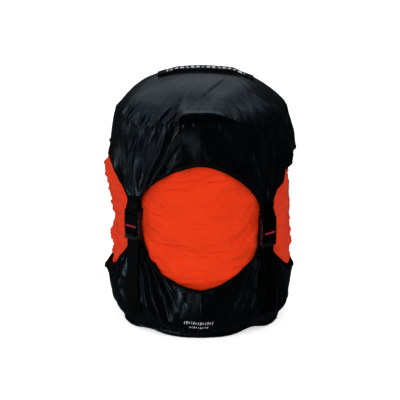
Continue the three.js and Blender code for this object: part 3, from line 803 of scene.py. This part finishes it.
def print_block(azimuth, z, width, height):
    """The outline of one block of print on the skirt: a closed plate that follows the fabric."""
    arm = "front_left" if azimuth < 0 else "front_right"
    across = np.linspace(-0.5, 0.5, 3)[:, None]
    up = np.linspace(-0.5, 0.5, 3)[None, :]
    at = azimuth + np.degrees((across * width + up * PRINT_SLANT * height) / SACK_RADIUS)
    heights = z + up * height + 0 * across
    return around(at, BOTTOM.surface(arm, at, heights) + 0.28, heights)


def make_print():
    """Two rows of plain slanted bars, where such a sack has its small print."""
    rows = [(18.4, 3.4, 13, 2.3, 1.5), (13.0, 1.7, 9, 2.2, 1.6)]
    points, faces = [], []
    for row, (z, height, count, pitch, width) in enumerate(rows):
        for k in range(count):
            x = (k - (count - 1) / 2) * pitch - 2.0
            wide = width * (0.4 + 0.24 * ((k * 5 + row) % 3))
            tall = height * (1 - 0.3 * ((k * 2 + row) % 3 == 1))
            block = print_block(math.degrees(x / SACK_RADIUS), z, wide, tall).reshape(-1, 3)
            faces += (grid_faces(3, 3) + len(points)).tolist()
            points += block.tolist()
    small_print = add_object("small_print_blocks", points, faces, PALE_PRINT)
    give_thickness(small_print, 0.25)
    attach(small_print, "base")


make_print()


# ---- Lid and base -------------------------------------------------------------------------------------
def crown(radius):
    """Height of the lid's crown, which its filling makes a little fuller than a plain dome."""
    return LID_TOP - radius * radius / (2 * DOME_RADIUS) + 1.2 * float(bell(abs(radius) - 33, 13))


LID_PROFILE = [
    # radius and height: the crown, the shoulder, and the rolled rim
    *[(radius, crown(radius)) for radius in (0, 20, 38, 56)],
    (68, TOP_SEAM_Z + 18.4),
    (76, TOP_SEAM_Z + 11.4),
    (81.5, TOP_SEAM_Z + 5.0),
    (84.4, TOP_SEAM_Z + 0.9),
    (85.0, TOP_SEAM_Z - 0.8),
    (84.2, TOP_SEAM_Z - 1.8),
    (82.2, TOP_SEAM_Z - 1.2),
]
PLEATS = [
    # azimuth at the seam, lean in degrees up the lid, height and width in mm, length as a share of the lid
    (-68, 3, 1.1, 1.7, 0.2),
    (-61, 5, 1.4, 1.5, 0.26),
    (-54, 4, 0.8, 1.3, 0.16),
    (-46, 5, 1.2, 1.8, 0.2),
    (-40, 4, 0.7, 1.2, 0.14),
    (-30, 7, 1.5, 1.7, 0.24),
    (-22, 5, 0.6, 1.4, 0.16),
    (16, -3, 0.7, 1.6, 0.16),
    (31, -5, 1.3, 1.5, 0.24),
    (37, -4, 1.0, 1.5, 0.2),
    (45, -5, 1.2, 1.8, 0.22),
    (55, -3, 0.9, 1.3, 0.18),
    (63, -6, 1.4, 1.6, 0.26),
    (69, -3, 1.0, 1.4, 0.18),
    (80, 2, 0.6, 1.5, 0.12),
    (112, 4, 1.0, 1.6, 0.2),
    (124, 5, 1.3, 1.8, 0.25),
    (133, 3, 1.0, 1.4, 0.18),
    (141, -4, 1.3, 1.7, 0.24),
    (152, -5, 0.9, 1.4, 0.16),
    (168, 3, 0.7, 1.6, 0.14),
    (204, 4, 0.9, 1.6, 0.18),
    (216, 5, 1.3, 1.6, 0.24),
    (226, -3, 1.1, 1.8, 0.22),
    (235, -5, 1.2, 1.4, 0.22),
    (247, -4, 0.9, 1.6, 0.16),
    (270, 3, 0.6, 1.6, 0.12),
]
CREASE_FROM = np.array([4.0, -62.0])  # a soft crease across the lid's right front, seen from above
CREASE_TO = np.array([27.0, -22.0])


def lid_surface(azimuth, radius, z, share):
    """The lid's points, with its pleats, creases and slack. share is 0 at the crown and 1 at the seam."""
    seam_shift = (top_seam(azimuth) + lid_hem_lift(azimuth) - TOP_SEAM_Z) * share**5
    overhang = 1.2 * smooth(lid_hem_lift(azimuth), 0, 5) * (smooth(share, 0.74, 0.9) + smooth(share, 0.9, 1))
    lift = 0.5 * ripples(azimuth, radius, 32, 110, 80) * smooth(share, 0.15, 0.6)
    lift = lift - 2.8 * bell(angle_apart(azimuth, -84), 44) * smooth(share, 0.45, 1)
    lift = lift + 0.07 * ripples(azimuth, radius, 33, 16, 24, 16) * smooth(share, 0.2, 0.5)
    lift = lift + 0.22 * ripples(azimuth, 2.2 * radius, 31, 8, 90, 14) * smooth(share, 0.8, 1)
    for where, lean, height, width, length in PLEATS:
        up_lid = (1 - share) / length
        off = np.radians(angle_apart(azimuth, where + lean * up_lid)) * TOP_SEAM_RADIUS
        pleat = np.exp(-np.abs(off / width) ** 1.5) - 0.35 * bell(off - 2.6 * width, 1.6 * width)
        lift = lift + height * pleat * (1 - smooth(up_lid, 0.25, 1.0))
    x = radius * np.sin(np.radians(azimuth))
    y = -radius * np.cos(np.radians(azimuth))
    length = np.linalg.norm(CREASE_TO - CREASE_FROM)
    direction = (CREASE_TO - CREASE_FROM) / length
    on = (x - CREASE_FROM[0]) * direction[0] + (y - CREASE_FROM[1]) * direction[1]
    off = (x - CREASE_FROM[0]) * direction[1] - (y - CREASE_FROM[1]) * direction[0]
    along = smooth(on, -8, 8) * (1 - smooth(on, length - 14, length + 10))
    lift = lift + along * (0.4 * bell(off + 2.6, 2.8) - 0.4 * bell(off, 1.8) - 0.5 * bell(off - 6, 6))
    slope = smooth(share, 0.5, 1.0)
    out = radius + overhang + lift * slope
    return around(azimuth, out, z + seam_shift + lift * (1 - 0.7 * slope))


def make_lid():
    profile, along = resample(LID_PROFILE, 0.75)
    azimuth = np.linspace(0, 360, 480, endpoint=False)[:, None]
    radius = profile[1:, 0][None, :]
    z = profile[1:, 1][None, :]
    share = np.minimum(along[1:] / (along[-1] - 4.2), 1)[None, :]
    points = lid_surface(azimuth, radius, z, share)
    columns, rows = points.shape[:2]
    flat = np.vstack([points.reshape(-1, 3), points[:, 0].mean(0)])
    faces = [f[::-1] for f in grid_faces(columns, rows, True).tolist()]
    faces += [[columns * rows, i * rows, ((i + 1) % columns) * rows][::-1] for i in range(columns)]
    lid = add_object("lid_fabric", flat, faces, BLACK_NYLON, flat[:, :2])
    fix_normals(lid)
    give_thickness(lid, FABRIC)
    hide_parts("lid_panel", "lid_seam_welt")
    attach(lid, "top_cap")


BASE_LIFTS = {-40: 3.6, 40: 5.2, 92: 0.8, 140: 2.4, 214: 2.8, 262: 1.0}  # azimuth, and mm off the floor


def make_base():
    outline = [
        (0, 0.25),
        (40, 0.2),
        (72, 0.0),
        (77.4, 0.0),
        (78.5, 0.6),
        (77.2, 3.0),
        (77.6, 5.6),
        (78.3, 7.4),
        (77.0, 7.4),
    ]
    profile, along = resample(outline, 1.0)
    azimuth = np.linspace(0, 360, 360, endpoint=False)[:, None]
    share = (along[1:] / along[-1])[None, :]
    radius = profile[1:, 0][None, :] + 0.25 * ripples(azimuth, 0.0, 34, 16, 60) * smooth(share, 0.8, 0.95)
    radius = radius - 1.5 * bell(angle_apart(azimuth, -90), 38) * smooth(share, 0.8, 0.95)
    dimples = 0.35 * ripples(azimuth, 0.6 * profile[1:, 0][None, :], 35, 40, 40) * smooth(share, 0.1, 0.4)
    rim_lift = sum(lift * bell(angle_apart(azimuth, where), 13) for where, lift in BASE_LIFTS.items())
    rim_lift = rim_lift * smooth(share, 0.62, 0.9)
    z = np.maximum(profile[1:, 1][None, :] + dimples * (1 - smooth(share, 0.8, 0.9)) + rim_lift + 0.1, 0.02)
    points = around(azimuth, radius, z)
    base = round_object("base_fabric", points, points[:, 0].mean(0), BLACK_NYLON)
    give_thickness(base, FABRIC)
    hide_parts("base_panel", "base_seam_welt")
    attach(base, "base")


make_lid()
make_base()


# ---- Stuffed sack -------------------------------------------------------------------------------------
BULGES = [
    # azimuth, height, reach round the girth in degrees, reach upwards in mm, how far out
    (-88, 156, 24, 15, 6.5),
    (-88, 136, 22, 12, 3.5),
    (-90, 103, 24, 9, -2.6),
    (-92, 86, 22, 8, 1.4),
    (-90, 76, 26, 7, -1.2),
    (88, 148, 26, 12, -1.6),
    (92, 121, 26, 12, 1.6),
    (88, 80, 26, 18, 2.8),
    (0, 116, 30, 46, 1.2),
    (8, 66, 24, 12, 1.0),
    (180, 130, 30, 30, 1.8),
    (172, 84, 24, 16, 1.2),
]
WRINKLES = [
    # azimuth and height of both ends, and depth: thin folds across the openings
    (-26, 166, 8, 171, 0.7),
    (-2, 167, 28, 175, 0.9),
    (-30, 160, 2, 162, 0.8),
    (4, 159, 35, 168, 1.0),
    (-35, 149, -6, 152, 0.8),
    (2, 151, 30, 154, 0.5),
    (-36, 143, -12, 142, 0.5),
    (-35, 129, -19, 121, 1.0),
    (-32, 119, -22, 114, 0.9),
    (-37, 112, -27, 107, 0.6),
    (-31, 98, -8, 95, 0.9),
    (-15, 87, 10, 84, 0.5),
    (2, 88, 27, 91, 0.7),
    (-19, 74, 10, 70, 0.6),
    (9, 140, 36, 148, 0.5),
    (20, 106, 37, 109, 0.5),
    (-112, 150, -74, 158, 0.9),
    (-108, 131, -70, 126, 1.0),
    (-104, 112, -76, 118, 0.8),
    (-110, 94, -72, 90, 1.0),
    (-100, 78, -80, 81, 0.8),
    (72, 150, 108, 146, 0.9),
    (70, 128, 104, 133, 0.9),
    (78, 108, 112, 104, 0.8),
    (72, 86, 106, 90, 1.0),
    (150, 158, 196, 164, 0.9),
    (146, 140, 178, 136, 0.8),
    (166, 122, 210, 126, 0.9),
    (150, 100, 186, 96, 0.8),
    (170, 78, 206, 82, 0.9),
]


def cap_cover(azimuth, z):
    """Radius of whichever skirt lies over a point, and how far inside the openings' edges the point is."""
    azimuth, z = np.broadcast_arrays(azimuth, z)
    cover = np.zeros(z.shape)
    from_arm = np.zeros(z.shape)
    for arm, arm_azimuth in ARMS.items():
        w = np.radians(np.abs(angle_apart(azimuth, arm_azimuth))) * GIRTH_RADIUS
        split = TOP.ends[arm] + (MEAN_OPENING_Z - TOP.ends[arm]) * smooth(w, TIP_HALF, 20)
        share = smooth(z - split, -4, 4)
        skirt = share * TOP.surface(arm, azimuth, z) + (1 - share) * BOTTOM.surface(arm, azimuth, z)
        cover = np.where(w <= QUARTER + 1e-6, skirt, cover)
        from_arm = np.where(w <= QUARTER + 1e-6, w, from_arm)
    inside = np.hypot(QUARTER - from_arm, z - MEAN_OPENING_Z) - (QUARTER - TIP_HALF)
    return cover, inside


def sack_radius(azimuth, z):
    """Radius of the sack's skin, bulging in the openings and held in under the skirts."""
    cover, inside = cap_cover(azimuth, z)
    free = SACK_RADIUS + 2.0 * bell(z - 172, 13) + 2.2 * bell(z - 60, 13)
    for where, height, wide, tall, out in BULGES:
        free = free + out * bell(angle_apart(azimuth, where), wide) * bell(z - height, tall)
    for a0, z0, a1, z1, depth in WRINKLES:
        along = angle_apart(azimuth, a0) / (a1 - a0)
        line = z0 + (z1 - z0) * along + 1.1 * np.sin(along * 5 + z0)
        window = smooth(along, -0.12, 0.15) * (1 - smooth(along, 0.8, 1.15))
        free = free + depth * window * (0.8 * bell(z - line - 1.7, 1.5) - bell(z - line, 0.8))
    drawn = ripples(azimuth, z, 51, 75, 8, 18)
    free = free + 0.1 * np.sign(drawn) * np.abs(drawn) ** 1.3
    at_side = bell(np.abs(angle_apart(azimuth, 0)) - 90, 32)
    free = free + 0.55 * at_side * ripples(azimuth, z, 55, 40, 11, 16)
    free = free + 0.5 * ripples(azimuth, z, 52, 60, 34) + 0.06 * ripples(azimuth, z, 53, 14, 9, 16)
    tucked = smooth(inside, -7, 3)
    limit = cover - 1.6 - 1.2 * smooth(inside, 1, 10)
    return np.where(free > limit, free * (1 - tucked) + limit * tucked, free)


SETTLE_COLUMNS = 116  # the cloth's own grid, about 4.8 mm
SETTLE_HEIGHTS = np.linspace(48, 184, 30)
SETTLE_FRAMES = 20


def settled_fabric():
    """How far the stuffed fabric between the caps moves as it settles, on the cloth's own grid, in mm.

    The fabric is a little too large for its pinned edges, and the filling presses it outwards.
    """
    azimuth = np.linspace(0, 360, SETTLE_COLUMNS, endpoint=False)[:, None]
    z = SETTLE_HEIGHTS[None, :]
    radius = sack_radius(azimuth, z)
    cloth = sheet_object("settling_fabric", around(azimuth, radius, z), ORANGE_NYLON, close_columns=True)
    inside = cap_cover(azimuth, z)[1]
    held = (inside > -5) | (z < SETTLE_HEIGHTS[1]) | (z > SETTLE_HEIGHTS[-2])
    pins = cloth.vertex_groups.new(name="held")
    pins.add(np.flatnonzero(held.ravel()).tolist(), 1.0, "REPLACE")
    modifier = cloth.modifiers.new("cloth", "CLOTH")
    settings = modifier.settings
    settings.quality = 5
    settings.mass = 0.15
    settings.tension_stiffness = 12
    settings.compression_stiffness = 12
    settings.shear_stiffness = 4
    settings.bending_stiffness = 0.08
    settings.shrink_min = -0.07
    settings.vertex_group_mass = pins.name
    settings.use_pressure = True
    settings.uniform_pressure_force = 4.0
    settings.effector_weights.gravity = 0.0
    modifier.point_cache.frame_end = SETTLE_FRAMES
    for step in range(1, SETTLE_FRAMES + 1):
        bpy.context.scene.frame_set(step)
    moved = cloth.evaluated_get(bpy.context.evaluated_depsgraph_get()).to_mesh()
    places = np.zeros(3 * len(moved.vertices))
    moved.vertices.foreach_get("co", places)
    bpy.data.objects.remove(cloth)
    bpy.context.scene.frame_set(1)
    places = places.reshape(*radius.shape, 3) / MM
    return np.hypot(places[..., 0], places[..., 1]) - radius


def settled_relief(azimuth, z):
    """The settled fabric's movement at each point of a finer grid, with its bulge and wrinkles limited."""
    moved = settled_fabric()
    broad = moved
    for _ in range(12):
        beside = (np.roll(broad, 1, axis=0) + np.roll(broad, -1, axis=0)) / 2
        padded = np.pad(broad, ((0, 0), (1, 1)), mode="edge")
        broad = (broad + beside + (padded[:, :-2] + padded[:, 2:]) / 2) / 3
    # Neither part moves the fabric by more than about a millimetre.
    wrinkles = 1.1 * np.tanh((moved - broad) / 1.6) + 1.0 * np.tanh(broad / 6)
    wrapped = np.vstack([wrinkles, wrinkles[:1]])
    columns = np.linspace(0, 360, SETTLE_COLUMNS + 1)
    at_height = np.stack([np.interp(z.ravel(), SETTLE_HEIGHTS, column, 0, 0) for column in wrapped])
    return np.stack([np.interp(azimuth.ravel() % 360, columns, row) for row in at_height.T], axis=1)


def make_sack():
    """The stuffed sack as one closed skin: its bottom, its side, and its shoulder gathered to the mouth."""
    rise = np.concatenate([np.linspace(15, 205, 320), np.linspace(206, 214, 8)])
    azimuth = np.linspace(-45, 315, 720, endpoint=False)[:, None]  # its seam is hidden behind an arm
    z = rise[None, :]
    radius = sack_radius(azimuth, z) + settled_relief(azimuth, z)
    radius = np.minimum(radius, 79.5 + 60 * smooth(205 - z, -30, 30))
    side = around(azimuth, radius, z)
    gathers = ripples(azimuth, 0.0, 54, 13, 60, 14)
    shoulder = [(77, 219), (71, 226.5), (61, 232.5), (49, 237)]
    shoulder += [(36, 239.6), (26, 238.8), (19.5, 240.2), (17.6, 241.4)]
    gathered = []
    for k, (r, height) in enumerate(shoulder):
        pleat = gathers * (0.3 + 0.1 * k)
        gathered.append(around(azimuth, r + 0.4 * pleat, height + pleat))
    low = []  # the sack's bottom, just above the base panel
    for r, height in [(20, 7.5), (56, 8.0), (66, 9.5), (72, 12.0)]:
        low.append(around(azimuth, r, np.full_like(azimuth, height)))
    points = np.concatenate([*low, side, *gathered], axis=1)
    heights = np.concatenate([np.linspace(-80, 0, 4), rise, 214 + np.linspace(8, 90, len(shoulder))])
    uvs = np.stack(np.broadcast_arrays(np.radians(azimuth) * GIRTH_RADIUS, heights[None, :]), -1)
    uvs = np.vstack([uvs.reshape(-1, 2), [0, -100]])
    sack = round_object("sack_fabric", points, (0, 0, 7.5), ORANGE_NYLON, uvs)
    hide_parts("sack_wall", "sack_base_panel", "packed_load")
    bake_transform(sack)


make_sack()


# ---- Webbing ------------------------------------------------------------------------------------------
RIB_PITCH = 1.9


def arm_axes(arm):
    """An arm's own directions in the row frame: across it, up, and outwards."""
    a = math.radians(ARMS[arm])
    across = np.array([math.cos(a), math.sin(a), 0.0])
    outwards = np.array([math.sin(a), -math.cos(a), 0.0])
    return across, np.array([0.0, 0.0, 1.0]), outwards


def ribbed_band(name, path, across, middle, material, width=15.0, thickness=1.1, wander=None):
    """Webbing along a path of (outwards, up) pairs in an arm's plane, with its ribs as real relief."""
    side, up, outwards = middle
    points, along = resample(path, RIB_PITCH / 4)
    centres = points[:, :1] * outwards + points[:, 1:] * up
    if wander is not None:
        centres = centres + wander(along)[:, None] * side
    normal = unit(np.cross(unit(np.gradient(centres, axis=0)), across))
    base = rounded_section(width / 2, thickness / 2, thickness * 0.42, 3)
    cuts = np.linspace(-width / 2 + 0.8, width / 2 - 0.8, 11)
    top = np.stack([cuts[::-1], np.full(len(cuts), thickness / 2)], -1)
    bottom = np.stack([cuts, np.full(len(cuts), -thickness / 2)], -1)
    count = len(base) // 4
    ring = np.vstack([base[:count], top, base[count : 3 * count], bottom, base[3 * count :]])
    section = np.repeat(ring[None], len(centres), axis=0)
    phase = np.where(np.arange(len(ring)) % 2 == 0, 0.0, math.pi)
    rib = 0.13 * np.cos(2 * math.pi * along[:, None] / RIB_PITCH + phase[None, :])
    section[..., 1] += rib * np.sign(section[..., 1]) * (np.abs(section[..., 1]) > 0.4 * thickness)
    sides = np.repeat(np.asarray(across, float)[None], len(centres), axis=0)
    return sweep(name, centres, sides, normal, section, material)


def strap_paths(arm):
    """Paths of one strap's parts and of the loop that holds its lock, as (outwards, up) pairs."""
    z = LOCK_Z[arm]

    def on_arm(height, lift):
        return (float(bottom_radius(height, z)) + lift, height)

    full = z - BOTTOM_ARM_FULL
    standing = [on_arm(h, 1.9) for h in np.linspace(22, full - 12, 8)] + [(90.7, full), (90.6, z + 1.0)]
    turn = [
        (90.6, z + 1.2),
        (90.5, z + 5.2),
        (91.2, z + 7.9),
        (93.0, z + 8.9),
        (94.7, z + 7.4),
        (95.2, z + 3.6),
        (95.1, z - 2.4),
        (94.2, z - 5.6),
        (92.3, z - 9.2),
        (92.0, z - 11.4),
        (92.2, z - 15.0),
    ]
    tail = [on_arm(z - 15.6 - t * 60, 4.0 + 0.5 * math.sin(5 * t)) for t in np.linspace(0, 1, 8)]
    bar = (92.9, z + 12.9)
    angles = np.radians(np.linspace(180, 360, 7))
    bend = [(bar[0] + 2.55 * math.cos(a), bar[1] + 2.55 * math.sin(a)) for a in angles]
    back = [(float(top_radius(z + h, z)) + 1.4, z + h) for h in (28, 22)]
    front = [(94.9, z + 17.0)] + [(r + 1.5, h) for r, h in reversed(back)]
    return {"standing": standing, "turn": turn, "tail": tail, "loop": back + bend + front}


def make_webbing(arm):
    across, up, outwards = middle = arm_axes(arm)
    paths = strap_paths(arm)
    seed = list(ARMS).index(arm)

    strap = ribbed_band(f"strap_{arm}_webbing", paths["standing"], across, middle, BLACK_WEBBING)
    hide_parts("strap_" + arm)
    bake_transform(strap)

    turn = ribbed_band(f"strap_turn_{arm}_webbing", paths["turn"], across, middle, BLACK_WEBBING)
    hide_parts("strap_turn_" + arm)
    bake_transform(turn)

    def wander(along):
        return 1.1 * np.sin(along / 60 * 2.2 + seed) * smooth(along, 0, 30)

    tail_name = f"strap_tail_{arm}_webbing"
    tail = ribbed_band(tail_name, paths["tail"], across, middle, BLACK_WEBBING, wander=wander)
    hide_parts("strap_tail_" + arm)
    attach(tail, "tail_" + arm)
    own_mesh(tail)

    loop = ribbed_band(f"buckle_loop_{arm}_webbing", paths["loop"], across, middle, BLACK_WEBBING)
    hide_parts("buckle_loop_" + arm)
    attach(loop, "top_cap")

    def on_loop(x, height):
        radius = float(top_radius(LOCK_Z[arm] + height, LOCK_Z[arm])) + 2.15
        return across * x + up * (LOCK_Z[arm] + height) + outwards * radius

    corners = ((-5.6, 22), (5.6, 22), (5.6, 27.2), (-5.6, 27.2), (-5.6, 22))
    box = [on_loop(x, height) for x, height in corners]
    box_rows = [(pair, [outwards, outwards]) for pair in zip(box, box[1:])]
    stitch_rows(f"arm_stitches_{arm}", box_rows, "top_cap")

    line_z = LOCK_Z[arm] - 1.7
    line = [(95.95, line_z + 0.85), (95.95, line_z - 0.85)]
    mark = ribbed_band(f"red_line_{arm}", line, across, middle, RED_YARN, 13.2, 0.4)
    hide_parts("red_marker_" + arm)
    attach(mark, "lock_" + arm)


# ---- Ladder locks -------------------------------------------------------------------------------------
def local_sweep(name, path, across, section, axes, origin_z):
    """A bar along a path of (across, up, outwards) points in a lock's own axes."""
    side, up, outwards = axes
    path = np.asarray(path, float)
    centres = path[:, :1] * side + (path[:, 1:2] + origin_z) * up + path[:, 2:] * outwards
    first = np.repeat(np.asarray(across, float)[None], len(centres), axis=0)
    second = unit(np.cross(unit(np.gradient(centres, axis=0)), first))
    return sweep(name, centres, first, second, section, BLACK_ACETAL)


def taper_ends(section, count, share):
    """The section at each of count steps, narrowed towards both ends like a moulded end."""
    t = np.linspace(0, 1, count)
    size = np.sqrt(np.clip(1 - np.clip(1 - np.minimum(t, 1 - t) / share, 0, 1) ** 2, 0.15, 1))
    return section[None] * size[:, None, None]


def union(target, others):
    """Joins the others into target, as one solid."""
    for other in others:
        modifier = target.modifiers.new("join", "BOOLEAN")
        modifier.operation = "UNION"
        modifier.solver = "EXACT"
        modifier.object = other
        depsgraph = bpy.context.evaluated_depsgraph_get()
        joined = bpy.data.meshes.new_from_object(target.evaluated_get(depsgraph))
        target.modifiers.clear()
        target.data = joined
        bpy.data.objects.remove(other)


def make_lock(arm):
    axes = arm_axes(arm)
    side, up = axes[:2]
    z = LOCK_Z[arm]
    rail_half, rail_at = 14.4, 9.05  # half a rail's length, and its place across the lock
    rails = []
    for sign in (-1, 1):
        heights = np.linspace(-rail_half, rail_half, 40)
        bow = 93.0 + 0.55 * np.cos(heights / rail_half * 1.45)
        path = np.stack([np.full_like(heights, sign * rail_at), heights, bow], -1)
        section = taper_ends(rounded_section(1.1, 1.95, 0.7), len(heights), 0.07)
        rails.append(local_sweep(f"rail{sign}", path, side, section, axes, z))
    xs = np.linspace(-9.2, 9.2, 12)
    bars = []
    for name, height, out, half_up, half_out, corner in (
        ("top_bar", 12.9, 92.9, 1.6, 1.6, 1.55),
        ("crossbar", 3.25, 92.75, 1.45, 1.25, 0.5),
        ("lip", -12.7, 94.0, 1.75, 0.85, 0.55),
        ("lip_back", -13.9, 94.6, 0.8, 1.3, 0.5),
    ):
        path = np.stack([xs, np.full_like(xs, height), np.full_like(xs, out)], -1)
        section = rounded_section(half_up, half_out, corner)
        bars.append(local_sweep(name, path, up, section, axes, z))
    thumb_half = 6.6
    thumb_x = np.linspace(-thumb_half, thumb_half, 16)
    thumb_out = 95.7 + 0.5 * np.cos(thumb_x / thumb_half * 1.4)
    thumb = np.stack([thumb_x, np.full_like(thumb_x, -rail_half), thumb_out], -1)
    thumb_section = taper_ends(rounded_section(0.65, 1.0, 0.5), len(thumb_x), 0.12)
    bars.append(local_sweep("thumb", thumb, up, thumb_section, axes, z))
    lock = rails[0]
    union(lock, [rails[1], *bars])
    lock.name = f"ladder_lock_{arm}_body"
    lock.data.shade_smooth()
    lock.modifiers.new("edges", "WEIGHTED_NORMAL")
    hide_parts("ladder_lock_" + arm)
    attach(lock, "lock_" + arm)


for arm_name in ARMS:
    make_webbing(arm_name)
    make_lock(arm_name)


# ---- Grab handle --------------------------------------------------------------------------------------
HANDLE_WIDTH = 15.0


def make_handle():
    low, high = (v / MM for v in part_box("grab_handle"))
    middle = (low.x + high.x) / 2
    reach = (high.x - low.x) / 2
    side = (np.array([1.0, 0, 0]), np.array([0, 0, 1.0]), np.array([1.0, 0, 0]))

    def lift(t):
        return 1.5 * float(smooth(1 - abs(t), 0, 0.3)) + 1.2

    def on_tab(x, y):
        return (x, y, crown(x) + 2.4)

    for name, sign in (("left", -1), ("right", 1)):
        ts = np.linspace(0, 1, 12) * sign
        path = [(middle + t * reach, crown(middle + t * reach) + lift(t) + 0.15) for t in ts]
        band = ribbed_band(f"handle_{name}_half", path, (0, 1, 0), side, HANDLE_WEBBING, HANDLE_WIDTH, 1.3)
        if sign < 0:
            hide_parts("grab_handle")
        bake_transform(band)

        tab_low, tab_high = (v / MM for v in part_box("handle_tab_" + name))
        inner, outer = (tab_high.x, tab_low.x) if sign < 0 else (tab_low.x, tab_high.x)
        xs = np.linspace(inner - sign * 0.4, outer, 6)
        tab_path = [(x, crown(x) + 1.4) for x in xs]
        tab_name = f"handle_tab_{name}_end"
        tab = ribbed_band(tab_name, tab_path, (0, 1, 0), side, HANDLE_WEBBING, HANDLE_WIDTH, 1.7)
        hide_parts("handle_tab_" + name)
        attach(tab, "top_cap")

        near, far = inner + sign * 1.4, outer - sign * 1.2
        corners = [on_tab(near, -5.4), on_tab(far, -5.4), on_tab(far, 5.4), on_tab(near, 5.4)]
        loop = [corners[k] for k in (0, 1, 2, 3, 0, 2, 1, 3)]
        rows = [(pair, [(0, 0, 1), (0, 0, 1)]) for pair in zip(loop, loop[1:])]
        stitch_rows(f"handle_tab_{name}_stitches", rows, "top_cap")


make_handle()


# ---- Mouth of the sack, under the lid -----------------------------------------------------------------
def make_mouth():
    azimuth = np.linspace(0, 360, 240, endpoint=False)
    centre_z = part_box("drawcord")[0].z / MM + 1.2
    ring_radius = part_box("drawcord")[1].x / MM - 1.2
    pleat = 1 + 0.13 * np.cos(np.radians(azimuth * 22)) + 0.05 * np.cos(np.radians(azimuth * 9 + 40))
    centres = around(azimuth, ring_radius, centre_z)
    outwards = around(azimuth, 1.0, 0.0)
    ups = np.repeat([[0.0, 0.0, 1.0]], len(azimuth), axis=0)
    turn = np.linspace(0, 2 * math.pi, 20, endpoint=False)
    tube = np.stack([np.cos(turn) * 2.7, np.sin(turn) * 2.2], -1)
    section = tube[None] * pleat[:, None, None]
    open_to_lock = np.abs(angle_apart(azimuth, 180)) > 24  # the hem leaves a gap for the cord lock
    parts = [values[open_to_lock] for values in (centres, outwards, ups, section)]
    hem = sweep("sack_mouth_hem", *parts, ORANGE_NYLON)
    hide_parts("mouth_hem")
    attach(hem, "sack_mouth")


make_mouth()


# ---- Finishes of the CAD nodes that stay --------------------------------------------------------------
def finish_node(node, material):
    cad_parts[node].data.materials.clear()
    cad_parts[node].data.materials.append(material)


def steel_material():
    n = Nodes("spring_steel_wire", Metallic=1.0)
    drawn = n.noise(n.scaled(n.coordinates.outputs["Object"], (1, 1, 8)), 900, 2)
    rough = n.map_range(drawn, 0.3, 0.7, 0.22, 0.38)
    return n.use(Base_Color=n.mix(drawn, (0.5, 0.5, 0.51, 1), (0.66, 0.66, 0.67, 1)), Roughness=rough)


def make_spring():
    """The cord lock's coil spring, which the plunger presses together."""
    low, high = (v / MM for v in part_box("cord_lock_spring"))
    middle = (low + high) / 2
    wire = 0.32  # its radius
    turns = 4.5
    angle = np.linspace(0, 2 * math.pi * turns, 180)
    radius = (high.x - low.x) / 2 - wire
    height = low.z + wire + (high.z - low.z - 2 * wire) * angle / angle[-1]
    outwards = np.stack([np.cos(angle), np.sin(angle), 0 * angle], -1)
    centres = outwards * radius + np.stack([middle.x + 0 * angle, middle.y + 0 * angle, height], -1)
    ups = np.repeat([[0.0, 0.0, 1.0]], len(angle), axis=0)
    turn = np.linspace(0, 2 * math.pi, 8, endpoint=False)
    section = np.stack([np.cos(turn), np.sin(turn)], -1) * wire
    spring = sweep("cord_lock_coil_spring", centres, outwards, ups, section, steel_material())
    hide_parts("cord_lock_spring")
    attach(spring, "sack_mouth")
    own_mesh(spring)


make_spring()
finish_node("cord_lock_barrel", BLACK_ACETAL)
finish_node("cord_lock_plunger", BLACK_ACETAL)
finish_node("drawcord", BLACK_WEBBING)
